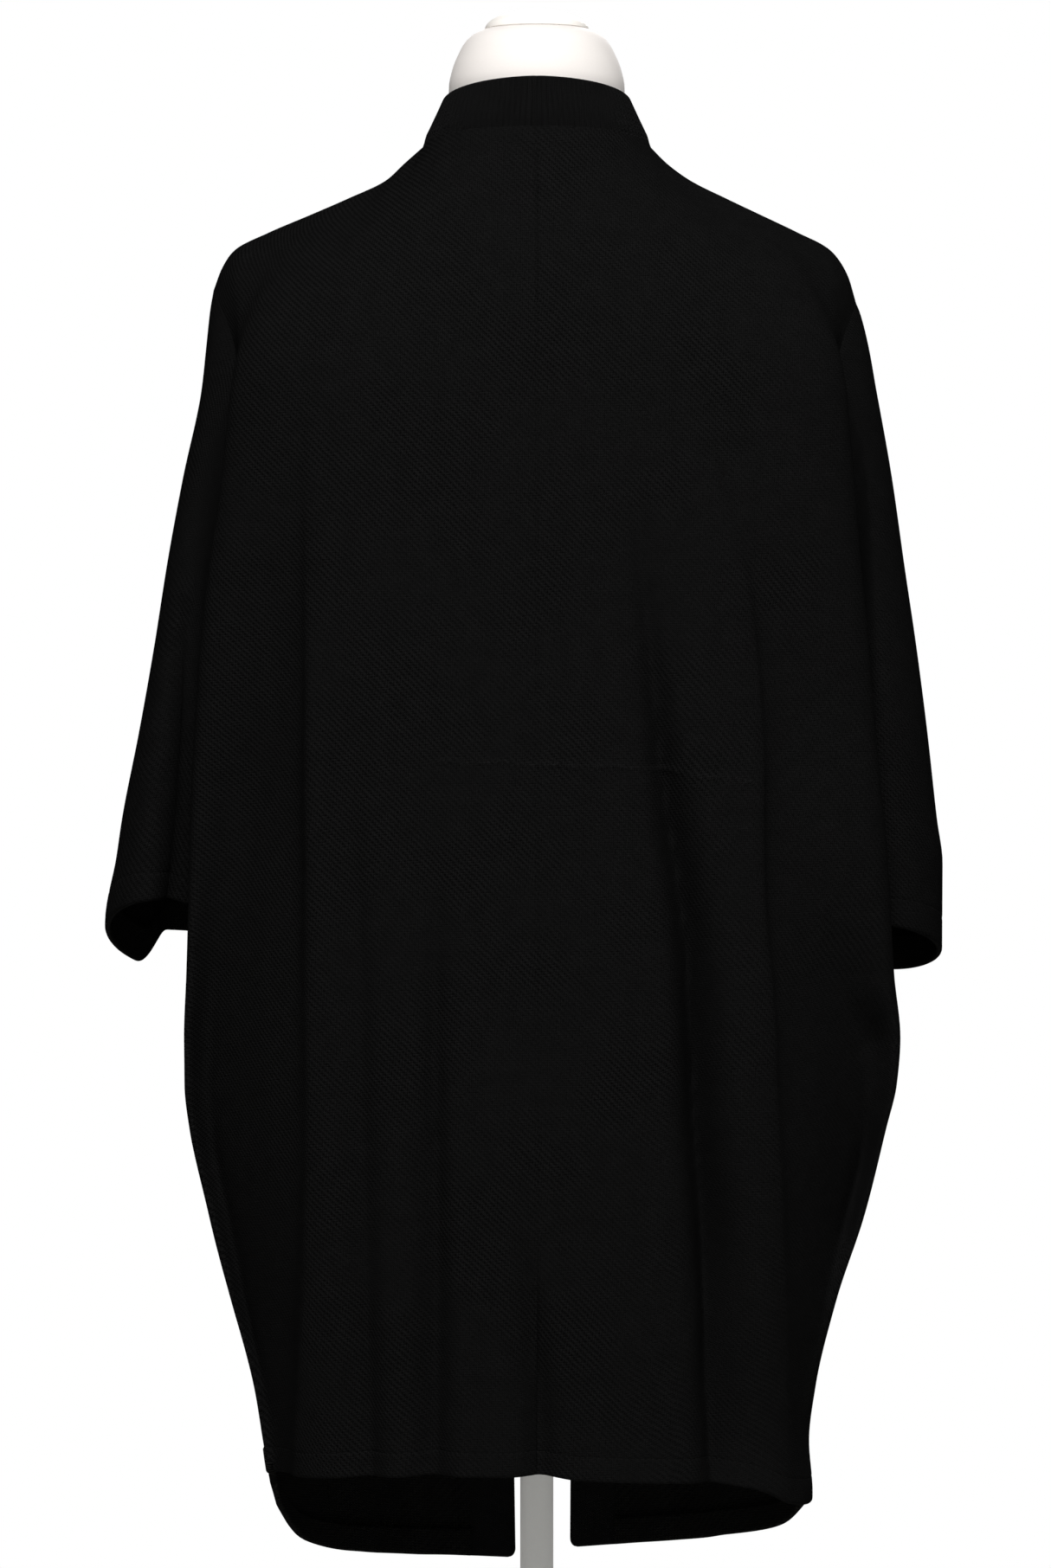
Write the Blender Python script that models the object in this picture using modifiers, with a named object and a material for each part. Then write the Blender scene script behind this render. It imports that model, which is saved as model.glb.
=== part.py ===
"""An open-front knitted cardigan on a limbless dress form with a round floor stand.

Metres, +Z up. The origin is the middle of the base's underside. The garment faces -Y, so its back faces +Y,
and the wearer's left is +X. Each table below holds real sizes, a row for each section or fold.
"""

from math import pi

import bmesh
import bpy
import numpy as np

# Cloth
CLOTH = 0.002
SEAM_GAP = 0.0003
BAND_WIDTH = 0.030

# Heights of the sections where one stretch of a panel ends and the next begins
NAPE_Z = 1.4217
BLADE_Z = 1.250
UNDERARM_Z = 1.090

# Rows of each stretch of a panel, and columns across it
YOKE_ROWS = 6
ARMHOLE_ROWS = 6
SKIRT_ROWS = 15
NECK_COLUMNS = 7
SHOULDER_COLUMNS = 12
SLEEVE_ROWS = 14
BAND_COLUMNS = 3

# How square the body's sections are: 1 is an ellipse, and less is squarer
SECTION_POWER = 0.78
# Share of a panel's columns that lie in the roll beside its armhole and side seam
ROLL_SHARE = 0.16
# Where the columns are evenly spaced, and how many steps measure the section there
SPACING_Z = 1.000
FINE_STEPS = 400

# How the yoke leaves its seam: its shares of the way across, out and down to the blades
YOKE_ACROSS = 0.15
YOKE_OUT = 0.52
YOKE_DOWN = 0.10
# How much less it stands out at the nape, and how much more it falls there
NAPE_OUT_LESS = 0.45
NAPE_DOWN_MORE = 0.20
# Share of its drop over which it meets the blades, and the step that their slope is read over
YOKE_LANDING = 0.5
SLOPE_STEP = 0.01

# Neckline: its half width at the shoulder seam and how far it stands behind and before the neck's axis
NECK_HALF_WIDTH = 0.0712
NECK_SIDE_Y = -0.003
NAPE_Y = 0.0625

# The band's width at the nape, and the ways it stands there and at the side of the neck
NAPE_BAND_WIDTH = 0.032
BAND_AT_NAPE = (0.0, -0.03, 1.0)
BAND_AT_SIDE = (-0.475, 0.0, 0.88)

# Share of a sleeve's length over which it hangs straight above its cuff
SLEEVE_HANG = 0.38

# Stand
POLE_RADIUS = 0.0105
BASE_RADIUS = 0.175
BASE_EDGE = 0.010
BASE_CROWN = 0.018
HUB_RADIUS = 0.024
HUB_HEIGHT = 0.060
FORM_COLUMNS = 32
TURN_STEPS = 32
MERGE = 0.0001

# Dress form: the neck's rim, and the cap that lies on it
NECK_RIM_Z = 1.489
CAP_RADIUS = 0.0330
CAP_TOP_Z = 1.5015
CAP_STEPS = 7

SHARP_ANGLE = pi / 4

SIDES = ("left", "right")


class Table:
    """Rows of real sizes under named columns, read along a smooth curve through them."""

    def __init__(self, columns, *rows):
        self.columns = columns.split()
        self.rows = np.array(sorted(rows), float)

    def at(self, column, place):
        """The column's value at each place along the first column, held level past either end."""
        xs = self.rows[:, 0]
        ys = self.rows[:, self.columns.index(column)]
        place = np.clip(np.asarray(place, float), xs[0], xs[-1])
        steps = np.diff(xs)
        slopes = np.diff(ys) / steps
        before, after = slopes[:-1], slopes[1:]
        same_way = before * after > 0
        total = np.where(same_way, before + after, 1.0)
        inner = np.where(same_way, 2 * before * after / total, 0.0)
        tangents = np.concatenate([slopes[:1], inner, slopes[-1:]])
        k = np.clip(np.searchsorted(xs, place) - 1, 0, len(steps) - 1)
        t = (place - xs[k]) / steps[k]
        rise = ys[k + 1] - ys[k]
        return (
            ys[k]
            + rise * t * t * (3 - 2 * t)
            + steps[k] * t * (1 - t) * (tangents[k] * (1 - t) - tangents[k + 1] * t)
        )


# The shoulder seam, from the neckline out over the shoulder's end to the armhole
SHOULDER = Table(
    "step left_x right_x left_z right_z",
    (0.00, 0.0712, 0.0712, 1.4148, 1.4148),
    (0.12, 0.0836, 0.0822, 1.4038, 1.4038),
    (0.22, 0.0957, 0.0974, 1.3928, 1.3928),
    (0.36, 0.1188, 0.1194, 1.3818, 1.3818),
    (0.52, 0.1441, 0.1425, 1.3708, 1.3708),
    (0.68, 0.1700, 0.1656, 1.3598, 1.3598),
    (0.82, 0.1914, 0.1859, 1.3488, 1.3488),
    (0.92, 0.1991, 0.1966, 1.3378, 1.3335),
    (1.00, 0.2045, 0.2022, 1.3235, 1.3150),
)

# Half width of the body at the roll behind each sleeve, and below the sleeves at the side
ROLL = Table(
    "z left_x right_x",
    (1.250, 0.1915, 0.1930),
    (1.190, 0.1980, 0.1985),
    (1.146, 0.2041, 0.2020),
    (1.090, 0.2100, 0.2074),
    (1.040, 0.2138, 0.2112),
    (0.960, 0.2172, 0.2192),
    (0.890, 0.2192, 0.2235),
    (0.848, 0.2211, 0.2277),
    (0.821, 0.2211, 0.2261),
    (0.793, 0.2184, 0.2200),
    (0.738, 0.2063, 0.2063),
    (0.683, 0.1925, 0.1887),
    (0.628, 0.1782, 0.1749),
    (0.595, 0.1733, 0.1712),
    (0.562, 0.1680, 0.1735),
    (0.500, 0.1560, 0.1600),
)

# Depths of the body's sections, and how far the side is pushed in where a sleeve hangs over it
BODY = Table(
    "z back_y roll_y back_in back_seam_y front_in front_seam_y chest_in chest_y front_y",
    (1.250, 0.112, 0.064, 0.006, 0.036, 0.028, -0.070, 0.024, -0.095, -0.130),
    (1.180, 0.119, 0.062, 0.010, 0.030, 0.034, -0.070, 0.029, -0.096, -0.142),
    (1.130, 0.122, 0.060, 0.018, 0.012, 0.035, -0.056, 0.032, -0.090, -0.142),
    (1.090, 0.124, 0.060, 0.032, -0.024, 0.032, -0.024, 0.037, -0.080, -0.140),
    (1.060, 0.126, 0.058, 0.043, -0.022, 0.043, -0.022, 0.046, -0.078, -0.139),
    (1.000, 0.129, 0.056, 0.046, -0.018, 0.046, -0.018, 0.050, -0.076, -0.138),
    (0.930, 0.132, 0.050, 0.043, -0.012, 0.043, -0.012, 0.049, -0.072, -0.138),
    (0.890, 0.133, 0.042, 0.032, -0.009, 0.032, -0.009, 0.038, -0.064, -0.138),
    (0.850, 0.133, 0.034, 0.012, -0.006, 0.012, -0.006, 0.016, -0.054, -0.138),
    (0.790, 0.132, 0.022, 0.002, -0.002, 0.002, -0.002, 0.003, -0.040, -0.137),
    (0.700, 0.127, 0.012, 0.000, 0.000, 0.000, 0.000, 0.000, -0.030, -0.135),
    (0.600, 0.118, 0.008, 0.000, 0.000, 0.000, 0.000, 0.000, -0.022, -0.131),
    (0.500, 0.112, 0.006, 0.000, 0.000, 0.000, 0.000, 0.000, -0.016, -0.127),
)

# Distance of each front panel's edge from the middle, where the band joins it
FRONT_EDGE = Table(
    "z left_x right_x",
    (1.250, 0.0610, 0.0630),
    (1.120, 0.0560, 0.0590),
    (0.950, 0.0510, 0.0560),
    (0.700, 0.0460, 0.0530),
    (0.500, 0.0434, 0.0515),
)

# The hem's height, from the middle of the back round to each side seam, and on to the front edge
HEM = Table(
    "turn left_z right_z",
    (0.00, 0.5815, 0.5815),
    (0.30, 0.5790, 0.5770),
    (0.60, 0.5760, 0.5740),
    (0.85, 0.5720, 0.5620),
    (1.00, 0.5640, 0.5520),
    (1.20, 0.5420, 0.5400),
    (1.40, 0.5180, 0.5250),
    (1.60, 0.5100, 0.5180),
    (2.00, 0.5065, 0.5135),
)

# Furrows that hang down the back: where each runs, how far its sides reach, and how deep it is
BACK_FOLDS = (
    Table(
        "z x to_left to_right depth",
        (1.290, 0.143, 0.016, 0.016, 0.000),
        (1.150, 0.147, 0.018, 0.018, 0.004),
        (1.040, 0.153, 0.020, 0.020, 0.009),
        (0.892, 0.163, 0.024, 0.024, 0.015),
        (0.791, 0.168, 0.024, 0.026, 0.017),
        (0.687, 0.158, 0.020, 0.022, 0.012),
        (0.560, 0.148, 0.018, 0.018, 0.006),
    ),
    Table(
        "z x to_left to_right depth",
        (1.060, 0.106, 0.016, 0.016, 0.000),
        (0.900, 0.107, 0.016, 0.016, 0.004),
        (0.700, 0.105, 0.017, 0.017, 0.006),
        (0.560, 0.103, 0.017, 0.017, 0.008),
    ),
    Table(
        "z x to_left to_right depth",
        (1.080, 0.064, 0.016, 0.016, 0.000),
        (0.900, 0.064, 0.017, 0.016, 0.005),
        (0.700, 0.063, 0.018, 0.017, 0.008),
        (0.560, 0.064, 0.018, 0.018, 0.011),
    ),
    Table(
        "z x to_left to_right depth",
        (0.800, 0.010, 0.016, 0.016, 0.000),
        (0.690, 0.006, 0.016, 0.016, 0.004),
        (0.560, -0.003, 0.016, 0.016, 0.009),
    ),
    Table(
        "z x to_left to_right depth",
        (1.220, -0.062, 0.020, 0.020, 0.000),
        (1.090, -0.073, 0.020, 0.021, 0.006),
        (1.020, -0.081, 0.020, 0.022, 0.010),
        (0.900, -0.095, 0.020, 0.022, 0.014),
        (0.780, -0.104, 0.020, 0.022, 0.016),
        (0.670, -0.110, 0.020, 0.022, 0.016),
        (0.560, -0.112, 0.019, 0.022, 0.012),
    ),
    Table(
        "z x to_left to_right depth",
        (1.240, -0.113, 0.016, 0.016, 0.000),
        (1.130, -0.130, 0.018, 0.018, 0.005),
        (1.000, -0.143, 0.020, 0.020, 0.009),
        (0.890, -0.156, 0.022, 0.022, 0.013),
        (0.780, -0.165, 0.022, 0.022, 0.013),
        (0.700, -0.158, 0.020, 0.018, 0.008),
        (0.590, -0.148, 0.018, 0.018, 0.000),
    ),
)

# The same for the two fronts, which hang in like folds
FRONT_FOLDS = (
    Table(
        "z x to_left to_right depth",
        (1.180, 0.118, 0.018, 0.018, 0.000),
        (1.000, 0.122, 0.020, 0.018, 0.008),
        (0.800, 0.130, 0.022, 0.018, 0.012),
        (0.500, 0.120, 0.020, 0.018, 0.009),
    ),
    Table(
        "z x to_left to_right depth",
        (1.140, 0.076, 0.015, 0.015, 0.000),
        (0.900, 0.082, 0.016, 0.016, 0.005),
        (0.500, 0.080, 0.017, 0.016, 0.008),
    ),
    Table(
        "z x to_left to_right depth",
        (1.200, -0.112, 0.018, 0.018, 0.000),
        (1.000, -0.122, 0.018, 0.020, 0.009),
        (0.800, -0.136, 0.018, 0.022, 0.012),
        (0.500, -0.126, 0.018, 0.020, 0.008),
    ),
    Table(
        "z x to_left to_right depth",
        (1.100, -0.084, 0.015, 0.015, 0.000),
        (0.850, -0.088, 0.016, 0.016, 0.006),
        (0.500, -0.086, 0.016, 0.017, 0.007),
    ),
)

# How far out each sleeve's outer edge hangs
SLEEVE_EDGE = Table(
    "z left_x right_x",
    (1.3235, 0.2045, 0.1980),
    (1.310, 0.2068, 0.2045),
    (1.288, 0.2090, 0.2101),
    (1.261, 0.2112, 0.2145),
    (1.206, 0.2222, 0.2239),
    (1.151, 0.2327, 0.2321),
    (1.096, 0.2420, 0.2409),
    (1.041, 0.2525, 0.2486),
    (0.986, 0.2640, 0.2552),
    (0.958, 0.2684, 0.2590),
    (0.920, 0.2756, 0.2590),
    (0.900, 0.2760, 0.2590),
)

# The way the cloth leaves the armhole, a quarter turn at a time from the shoulder by the front
SLEEVE_START = Table(
    "turn out back up reach",
    (0.00, 0.35, 0.00, -0.94, 0.060),
    (0.25, 0.90, 0.05, -0.45, 0.050),
    (0.50, 0.95, 0.00, -0.30, 0.030),
    (0.75, 0.85, -0.35, -0.40, 0.045),
    (1.00, 0.35, 0.00, -0.94, 0.060),
)

# Each cuff's ring: half its width and depth, its middle, and how much higher it is outside and behind
CUFF_DEPTH = 0.064
CUFF_Y = -0.040
CUFFS = {
    "left": {"half_width": 0.040, "outer_x": 0.2756, "z": 0.918, "outside": 0.002, "behind": 0.018},
    "right": {"half_width": 0.037, "outer_x": 0.2590, "z": 0.909, "outside": -0.004, "behind": 0.015},
}

# The valley that runs down the back of the left sleeve to its cuff
SLEEVE_VALLEY = Table(
    "z x to_left to_right depth",
    (1.130, 0.226, 0.009, 0.009, 0.000),
    (1.040, 0.230, 0.010, 0.010, 0.006),
    (0.970, 0.234, 0.011, 0.011, 0.010),
    (0.900, 0.237, 0.011, 0.011, 0.012),
)

# Sections of the dress form: half width, how far it reaches behind and before, and how square it is
FORM = Table(
    "z half_width back_y front_y power",
    (0.800, 0.150, 0.088, -0.088, 0.90),
    (0.870, 0.158, 0.100, -0.094, 0.90),
    (0.950, 0.142, 0.088, -0.090, 0.92),
    (1.030, 0.122, 0.070, -0.084, 0.94),
    (1.110, 0.134, 0.078, -0.102, 0.90),
    (1.180, 0.148, 0.092, -0.122, 0.88),
    (1.240, 0.158, 0.096, -0.112, 0.86),
    (1.290, 0.168, 0.086, -0.088, 0.86),
    (1.325, 0.174, 0.070, -0.066, 0.90),
    (1.345, 0.172, 0.056, -0.052, 1.00),
    (1.356, 0.162, 0.048, -0.044, 1.00),
    (1.367, 0.143, 0.044, -0.042, 1.00),
    (1.378, 0.117, 0.046, -0.044, 1.00),
    (1.389, 0.094, 0.050, -0.048, 1.00),
    (1.400, 0.0815, 0.052, -0.051, 1.00),
    (1.411, 0.0690, 0.054, -0.053, 1.00),
    (1.422, 0.0600, 0.056, -0.055, 1.00),
    (1.433, 0.0560, 0.0560, -0.0560, 1.00),
    (1.453, 0.0558, 0.0558, -0.0558, 1.00),
    (1.464, 0.0536, 0.0536, -0.0536, 1.00),
    (1.472, 0.0505, 0.0505, -0.0505, 1.00),
    (1.481, 0.0456, 0.0456, -0.0456, 1.00),
    (1.4865, 0.0396, 0.0396, -0.0396, 1.00),
    (NECK_RIM_Z, 0.0336, 0.0336, -0.0336, 1.00),
)

# The sides of each kind of piece that are sewn to another, so lie half a seam's gap back
SEWN_EDGES = {
    "back": ("top", "first", "last"),
    "front": ("top", "first", "last"),
    "sleeve": ("top",),
    "band": ("top", "first", "last"),
}

# How far each kind of piece stays back from its seams
DRAWN_BACK = {"back": SEAM_GAP / 2, "front": SEAM_GAP / 2, "sleeve": SEAM_GAP, "band": SEAM_GAP}

KNIT_COLOR = (0.006, 0.006, 0.006)
KNIT_ROUGHNESS = 0.9
COVER_COLOR = (0.86, 0.83, 0.80)
COVER_ROUGHNESS = 0.7
CAP_COLOR = (0.82, 0.80, 0.78)
CAP_ROUGHNESS = 0.5
STAND_COLOR = (0.85, 0.85, 0.84)
STAND_ROUGHNESS = 0.4


def unit(vectors):
    """Each vector at length one."""
    return vectors / np.linalg.norm(vectors, axis=-1, keepdims=True)


def normals_of(grid, ring=False):
    """Unit normals of a surface given as rows of points; a ring's last column runs on into its first."""
    if ring:
        wide = np.concatenate([grid[:, -2:], grid, grid[:, :2]], axis=1)
        across = np.gradient(wide, axis=1)[:, 2:-2]
    else:
        across = np.gradient(grid, axis=1)
    down = np.gradient(grid, axis=0)
    return unit(np.cross(across, down))


def bezier(start, start_way, end_way, end, count):
    """Rows of points along cubic curves, one for each column, from start to end."""
    t = np.linspace(0, 1, count + 1)[:, None, None]
    return (
        start * (1 - t) ** 3
        + 3 * (start + start_way) * t * (1 - t) ** 2
        + 3 * (end + end_way) * t * t * (1 - t)
        + end * t**3
    )


def ease(t):
    """Runs from 0 to 1 and is level at both ends."""
    return t * t * (3 - 2 * t)


def furrow(fold, x, z):
    """Depth of one furrow at each point, soft at its sides and its ends."""
    middle = fold.at("x", z)
    reach = np.where(x > middle, fold.at("to_left", z), fold.at("to_right", z))
    inside = (z >= fold.rows[0, 0]) & (z <= fold.rows[-1, 0])
    return np.where(inside, fold.at("depth", z) * np.exp(-(((x - middle) / reach) ** 2)), 0.0)


def quarter(start, share, half_width, side_y, middle_y):
    """A squared quarter of an oval from its middle, or from start, round to its side."""
    angle = (start + (1 - start) * share) * pi / 2
    x = half_width * np.sin(angle) ** SECTION_POWER
    y = side_y + (middle_y - side_y) * np.cos(angle) ** SECTION_POWER
    return x, y


def section(shares, z, side, front):
    """Points of one half section of the body at the given heights, from its middle or front edge to its seam."""
    roll_x = ROLL.at(side + "_x", z)
    if front:
        outer_x = roll_x - BODY.at("chest_in", z)
        outer_y = BODY.at("chest_y", z)
        middle_y = BODY.at("front_y", z)
        seam_x = roll_x - BODY.at("front_in", z)
        seam_y = BODY.at("front_seam_y", z)
        edge = FRONT_EDGE.at(side + "_x", z)
        start = np.arcsin((edge / outer_x) ** (1 / SECTION_POWER)) * 2 / pi
    else:
        outer_x = roll_x
        outer_y = BODY.at("roll_y", z)
        middle_y = BODY.at("back_y", z)
        seam_x = roll_x - BODY.at("back_in", z)
        seam_y = BODY.at("back_seam_y", z)
        start = np.zeros_like(z)
    share = np.clip(shares / (1 - ROLL_SHARE), 0, 1)
    x, y = quarter(start, share, outer_x, outer_y, middle_y)
    roll = np.clip((shares - 1 + ROLL_SHARE) / ROLL_SHARE, 0, 1)
    x = np.where(roll > 0, outer_x + (seam_x - outer_x) * ease(roll), x)
    y = np.where(roll > 0, outer_y + (seam_y - outer_y) * roll, y)
    return np.stack([x, y, z], axis=-1)


def even_shares(count, side, front):
    """Shares along a section that space its points evenly."""
    fine = np.linspace(0, 1, FINE_STEPS)
    points = section(fine, np.full(FINE_STEPS, SPACING_Z), side, front)
    length = np.concatenate([[0], np.cumsum(np.linalg.norm(np.diff(points, axis=0), axis=1))])
    return np.interp(np.linspace(0, length[-1], count), length, fine)


def shoulder_line(side, count):
    """Points along the shoulder seam from the neckline to the armhole."""
    steps = np.linspace(0, 1, count + 1)
    x = SHOULDER.at(side + "_x", steps)
    z = SHOULDER.at(side + "_z", steps)
    return np.stack([x, np.full_like(x, NECK_SIDE_Y), z], axis=-1)


def neckline(side, count):
    """Points along the back neckline from the nape to the shoulder seam."""
    angle = np.linspace(0, pi / 2, count + 1)
    x = NECK_HALF_WIDTH * np.sin(angle)
    y = NECK_SIDE_Y + (NAPE_Y - NECK_SIDE_Y) * np.cos(angle)
    z = NAPE_Z + (SHOULDER.at(side + "_z", 0) - NAPE_Z) * (1 - np.cos(angle))
    return np.stack([x, y, z], axis=-1)


def half_panel(side, front):
    """Rows of points of one half of the back, or of one front, from the top edge to the hem."""
    shoulder = shoulder_line(side, SHOULDER_COLUMNS)
    if front:
        top = shoulder
        hem_turn = 2 - even_shares(len(top), side, front)
    else:
        top = np.concatenate([neckline(side, NECK_COLUMNS)[:-1], shoulder])
        hem_turn = even_shares(len(top), side, front)
    shares = even_shares(len(top), side, front)
    hem_z = HEM.at(side + "_z", hem_turn)

    def level(z):
        """A section at a height, or at one for each column."""
        return section(shares, np.broadcast_to(z, shares.shape).astype(float), side, front)

    blades = level(BLADE_Z)
    drop = top[:, 2] - BLADE_Z
    across = YOKE_ACROSS * (blades - top)[:, 0]
    out = YOKE_OUT * np.abs(blades[:, 1] - top[:, 1]) * (-1 if front else 1)
    down = -YOKE_DOWN * drop
    if not front:
        nape_share = np.clip(1 - np.arange(len(top)) / NECK_COLUMNS, 0, 1)
        out *= 1 - NAPE_OUT_LESS * nape_share
        down -= NAPE_DOWN_MORE * drop * nape_share
    slope = (blades - level(BLADE_Z - SLOPE_STEP)) / SLOPE_STEP
    landing = slope * YOKE_LANDING * drop[:, None]
    yoke = bezier(top, np.stack([across, out, down], axis=-1), landing, blades, YOKE_ROWS)
    armhole = [level(z) for z in np.linspace(BLADE_Z, UNDERARM_Z, ARMHOLE_ROWS + 1)[1:]]
    steps = np.linspace(0, 1, SKIRT_ROWS + 1)[1:]
    skirt = [level(UNDERARM_Z + (hem_z - UNDERARM_Z) * step) for step in steps]
    panel = np.concatenate([yoke, np.array(armhole), np.array(skirt)])
    if side == "right":
        panel[..., 0] *= -1
    return panel


def folded(grid, folds, fade):
    """A panel pushed in along its furrows, which fade out towards its side seams."""
    depth = sum(furrow(fold, grid[..., 0], grid[..., 2]) for fold in folds)
    return grid - normals_of(grid) * (depth * fade)[..., None]


def side_fade(shares):
    """One over most of a panel, and falling to nothing at its side seam."""
    return ease(np.clip((1 - shares) / ROLL_SHARE, 0, 1))


def back_surface():
    """The whole back, from its right edge across to its left."""
    halves = {side: half_panel(side, False) for side in SIDES}
    fades = {side: side_fade(even_shares(halves[side].shape[1], side, False)) for side in SIDES}
    grid = np.concatenate([halves["right"][:, ::-1], halves["left"][:, 1:]], axis=1)
    fade = np.concatenate([fades["right"][::-1], fades["left"][1:]])
    return folded(grid, BACK_FOLDS, fade)


def front_surface(side):
    """One front, whose columns run from the wearer's left to their right."""
    grid = half_panel(side, True)
    fade = side_fade(even_shares(grid.shape[1], side, True))
    if side == "left":
        grid, fade = grid[:, ::-1], fade[::-1]
    return folded(grid, FRONT_FOLDS, fade)


def sleeve_surface(side, armhole):
    """Rings of points from the armhole, which starts at the shoulder and goes round by the front, to the cuff."""
    mirror = (1, 1, 1) if side == "left" else (-1, 1, 1)
    cuff = CUFFS[side]
    turn = np.linspace(0, 1, len(armhole), endpoint=False)
    around, behind = np.cos(2 * pi * turn), -np.sin(2 * pi * turn)
    end = np.stack(
        [
            cuff["outer_x"] + cuff["half_width"] * (around - 1),
            CUFF_Y + CUFF_DEPTH * behind,
            cuff["z"] + cuff["outside"] * around + cuff["behind"] * behind,
        ],
        axis=-1,
    )
    start = armhole * mirror
    way = unit(np.stack([SLEEVE_START.at(name, turn) for name in ("out", "back", "up")], axis=-1))
    start_way = way * SLEEVE_START.at("reach", turn)[:, None]
    axis = unit(start.mean(axis=0) - end.mean(axis=0))
    end_way = axis * SLEEVE_HANG * np.linalg.norm(start - end, axis=1)[:, None]
    rings = bezier(start, start_way, end_way, end, SLEEVE_ROWS)
    outer = rings[:, 0]
    error = SLEEVE_EDGE.at(side + "_x", outer[:, 2]) - outer[:, 0]
    error -= error[0]
    rings[..., 0] += error[:, None] * np.clip(around, 0, 1) ** 2
    if side == "left":
        depth = furrow(SLEEVE_VALLEY, rings[..., 0], rings[..., 2])
        depth *= ease(np.clip(behind * 2, 0, 1))
        rings = rings - normals_of(rings, ring=True) * depth[..., None]
        return rings
    return (rings * mirror)[:, ::-1]


def armhole_loop(side, back, front):
    """Points round an armhole, from the shoulder down the front's edge and up the back's."""
    rows = slice(0, YOKE_ROWS + ARMHOLE_ROWS + 1)
    if side == "left":
        return np.concatenate([front[rows, 0], back[rows, -1][-2:0:-1]])
    return np.concatenate([front[rows, -1], back[rows, 0][-2:0:-1]])


def band_surface(side, back, front):
    """Half of the band, from the nape round the neck and down the front, sewn edge to free edge."""
    mirror = (1, 1, 1) if side == "left" else (-1, 1, 1)
    middle = back.shape[1] // 2
    if side == "left":
        neck = back[0, middle : middle + NECK_COLUMNS]
        edge, beside = front[:, -1], front[:, -2]
    else:
        neck = back[0, middle : middle - NECK_COLUMNS : -1] * mirror
        edge, beside = front[:, 0] * mirror, front[:, 1] * mirror
    path = np.concatenate([neck, edge])
    nape_share = np.clip(np.arange(len(path)) / NECK_COLUMNS, 0, 1)[:, None]
    standing = unit(np.array(BAND_AT_NAPE) * (1 - nape_share) + np.array(BAND_AT_SIDE) * nape_share)
    lying = np.concatenate([np.repeat(unit(edge - beside)[:1], NECK_COLUMNS, axis=0), unit(edge - beside)])
    front_share = ease(np.clip((np.arange(len(path)) - NECK_COLUMNS) / YOKE_ROWS, 0, 1))[:, None]
    way = unit(standing * (1 - front_share) + lying * front_share)
    width = NAPE_BAND_WIDTH + (BAND_WIDTH - NAPE_BAND_WIDTH) * nape_share
    across = np.linspace(0, 1, BAND_COLUMNS + 1)[None, :, None]
    band = path[:, None] + (way * width)[:, None] * across
    return band if side == "left" else (band * mirror)[:, ::-1]


def shared_normals(surfaces):
    """Unit normals of every surface, in which the points that lie together at a seam share one."""
    found = {name: normals_of(grid, ring=name.startswith("sleeve")) for name, grid in surfaces.items()}
    points = np.concatenate([grid.reshape(-1, 3) for grid in surfaces.values()])
    normals = np.concatenate([found[name].reshape(-1, 3) for name in surfaces])
    _, group = np.unique(np.round(points, 6), axis=0, return_inverse=True)
    group = group.reshape(-1)
    totals = np.zeros((group.max() + 1, 3))
    np.add.at(totals, group, normals)
    shared = unit(totals)[group]
    starts = np.cumsum([0] + [grid.shape[0] * grid.shape[1] for grid in surfaces.values()])
    return {
        name: shared[start : start + grid.shape[0] * grid.shape[1]].reshape(grid.shape)
        for start, (name, grid) in zip(starts, surfaces.items())
    }


def garment_surfaces():
    """Every cut piece's surface, by the name of its node."""
    back = back_surface()
    middle = back.shape[1] // 2
    surfaces = {"back_left": back[:, middle:], "back_right": back[:, : middle + 1]}
    for side in SIDES:
        front = front_surface(side)
        surfaces["front_" + side] = front
        surfaces["sleeve_" + side] = sleeve_surface(side, armhole_loop(side, back, front))
        surfaces["band_" + side] = band_surface(side, back, front)
    return surfaces


def build_wall(name, grid, normals):
    """A closed wall of the cloth's thickness on a surface, drawn back from its seams."""
    kind = name.split("_")[0]
    ring = kind == "sleeve"
    grid = grid.copy()
    edges = {
        "top": (np.s_[0], np.s_[1]),
        "first": (np.s_[:, 0], np.s_[:, 1]),
        "last": (np.s_[:, -1], np.s_[:, -2]),
    }
    for where in SEWN_EDGES[kind]:
        edge, inner = edges[where]
        grid[edge] += unit(grid[inner] - grid[edge]) * DRAWN_BACK[kind]
    rows, columns = grid.shape[:2]
    mesh = bmesh.new()
    outer, inner = (
        [[mesh.verts.new(point) for point in row] for row in grid + normals * offset]
        for offset in (CLOTH / 2, -CLOTH / 2)
    )
    spans = columns if ring else columns - 1
    for r in range(rows - 1):
        for c in range(spans):
            n = (c + 1) % columns
            mesh.faces.new((outer[r][c], outer[r + 1][c], outer[r + 1][n], outer[r][n]))
            mesh.faces.new((inner[r][c], inner[r][n], inner[r + 1][n], inner[r + 1][c]))
    for c in range(spans):
        n = (c + 1) % columns
        mesh.faces.new((outer[0][c], outer[0][n], inner[0][n], inner[0][c]))
        mesh.faces.new((outer[-1][c], inner[-1][c], inner[-1][n], outer[-1][n]))
    if not ring:
        for r in range(rows - 1):
            mesh.faces.new((outer[r][0], inner[r][0], inner[r + 1][0], outer[r + 1][0]))
            mesh.faces.new((outer[r][-1], outer[r + 1][-1], inner[r + 1][-1], inner[r][-1]))
    return add_object(name, mesh)


def add_object(name, mesh):
    """A smooth-shaded object from a bmesh, facing out, in the part's collection."""
    bmesh.ops.recalc_face_normals(mesh, faces=mesh.faces)
    data = bpy.data.meshes.new(name)
    mesh.to_mesh(data)
    mesh.free()
    data.shade_smooth()
    data.set_sharp_from_angle(angle=SHARP_ANGLE)
    obj = bpy.data.objects.new(name, data)
    PART.objects.link(obj)
    return obj


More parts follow.
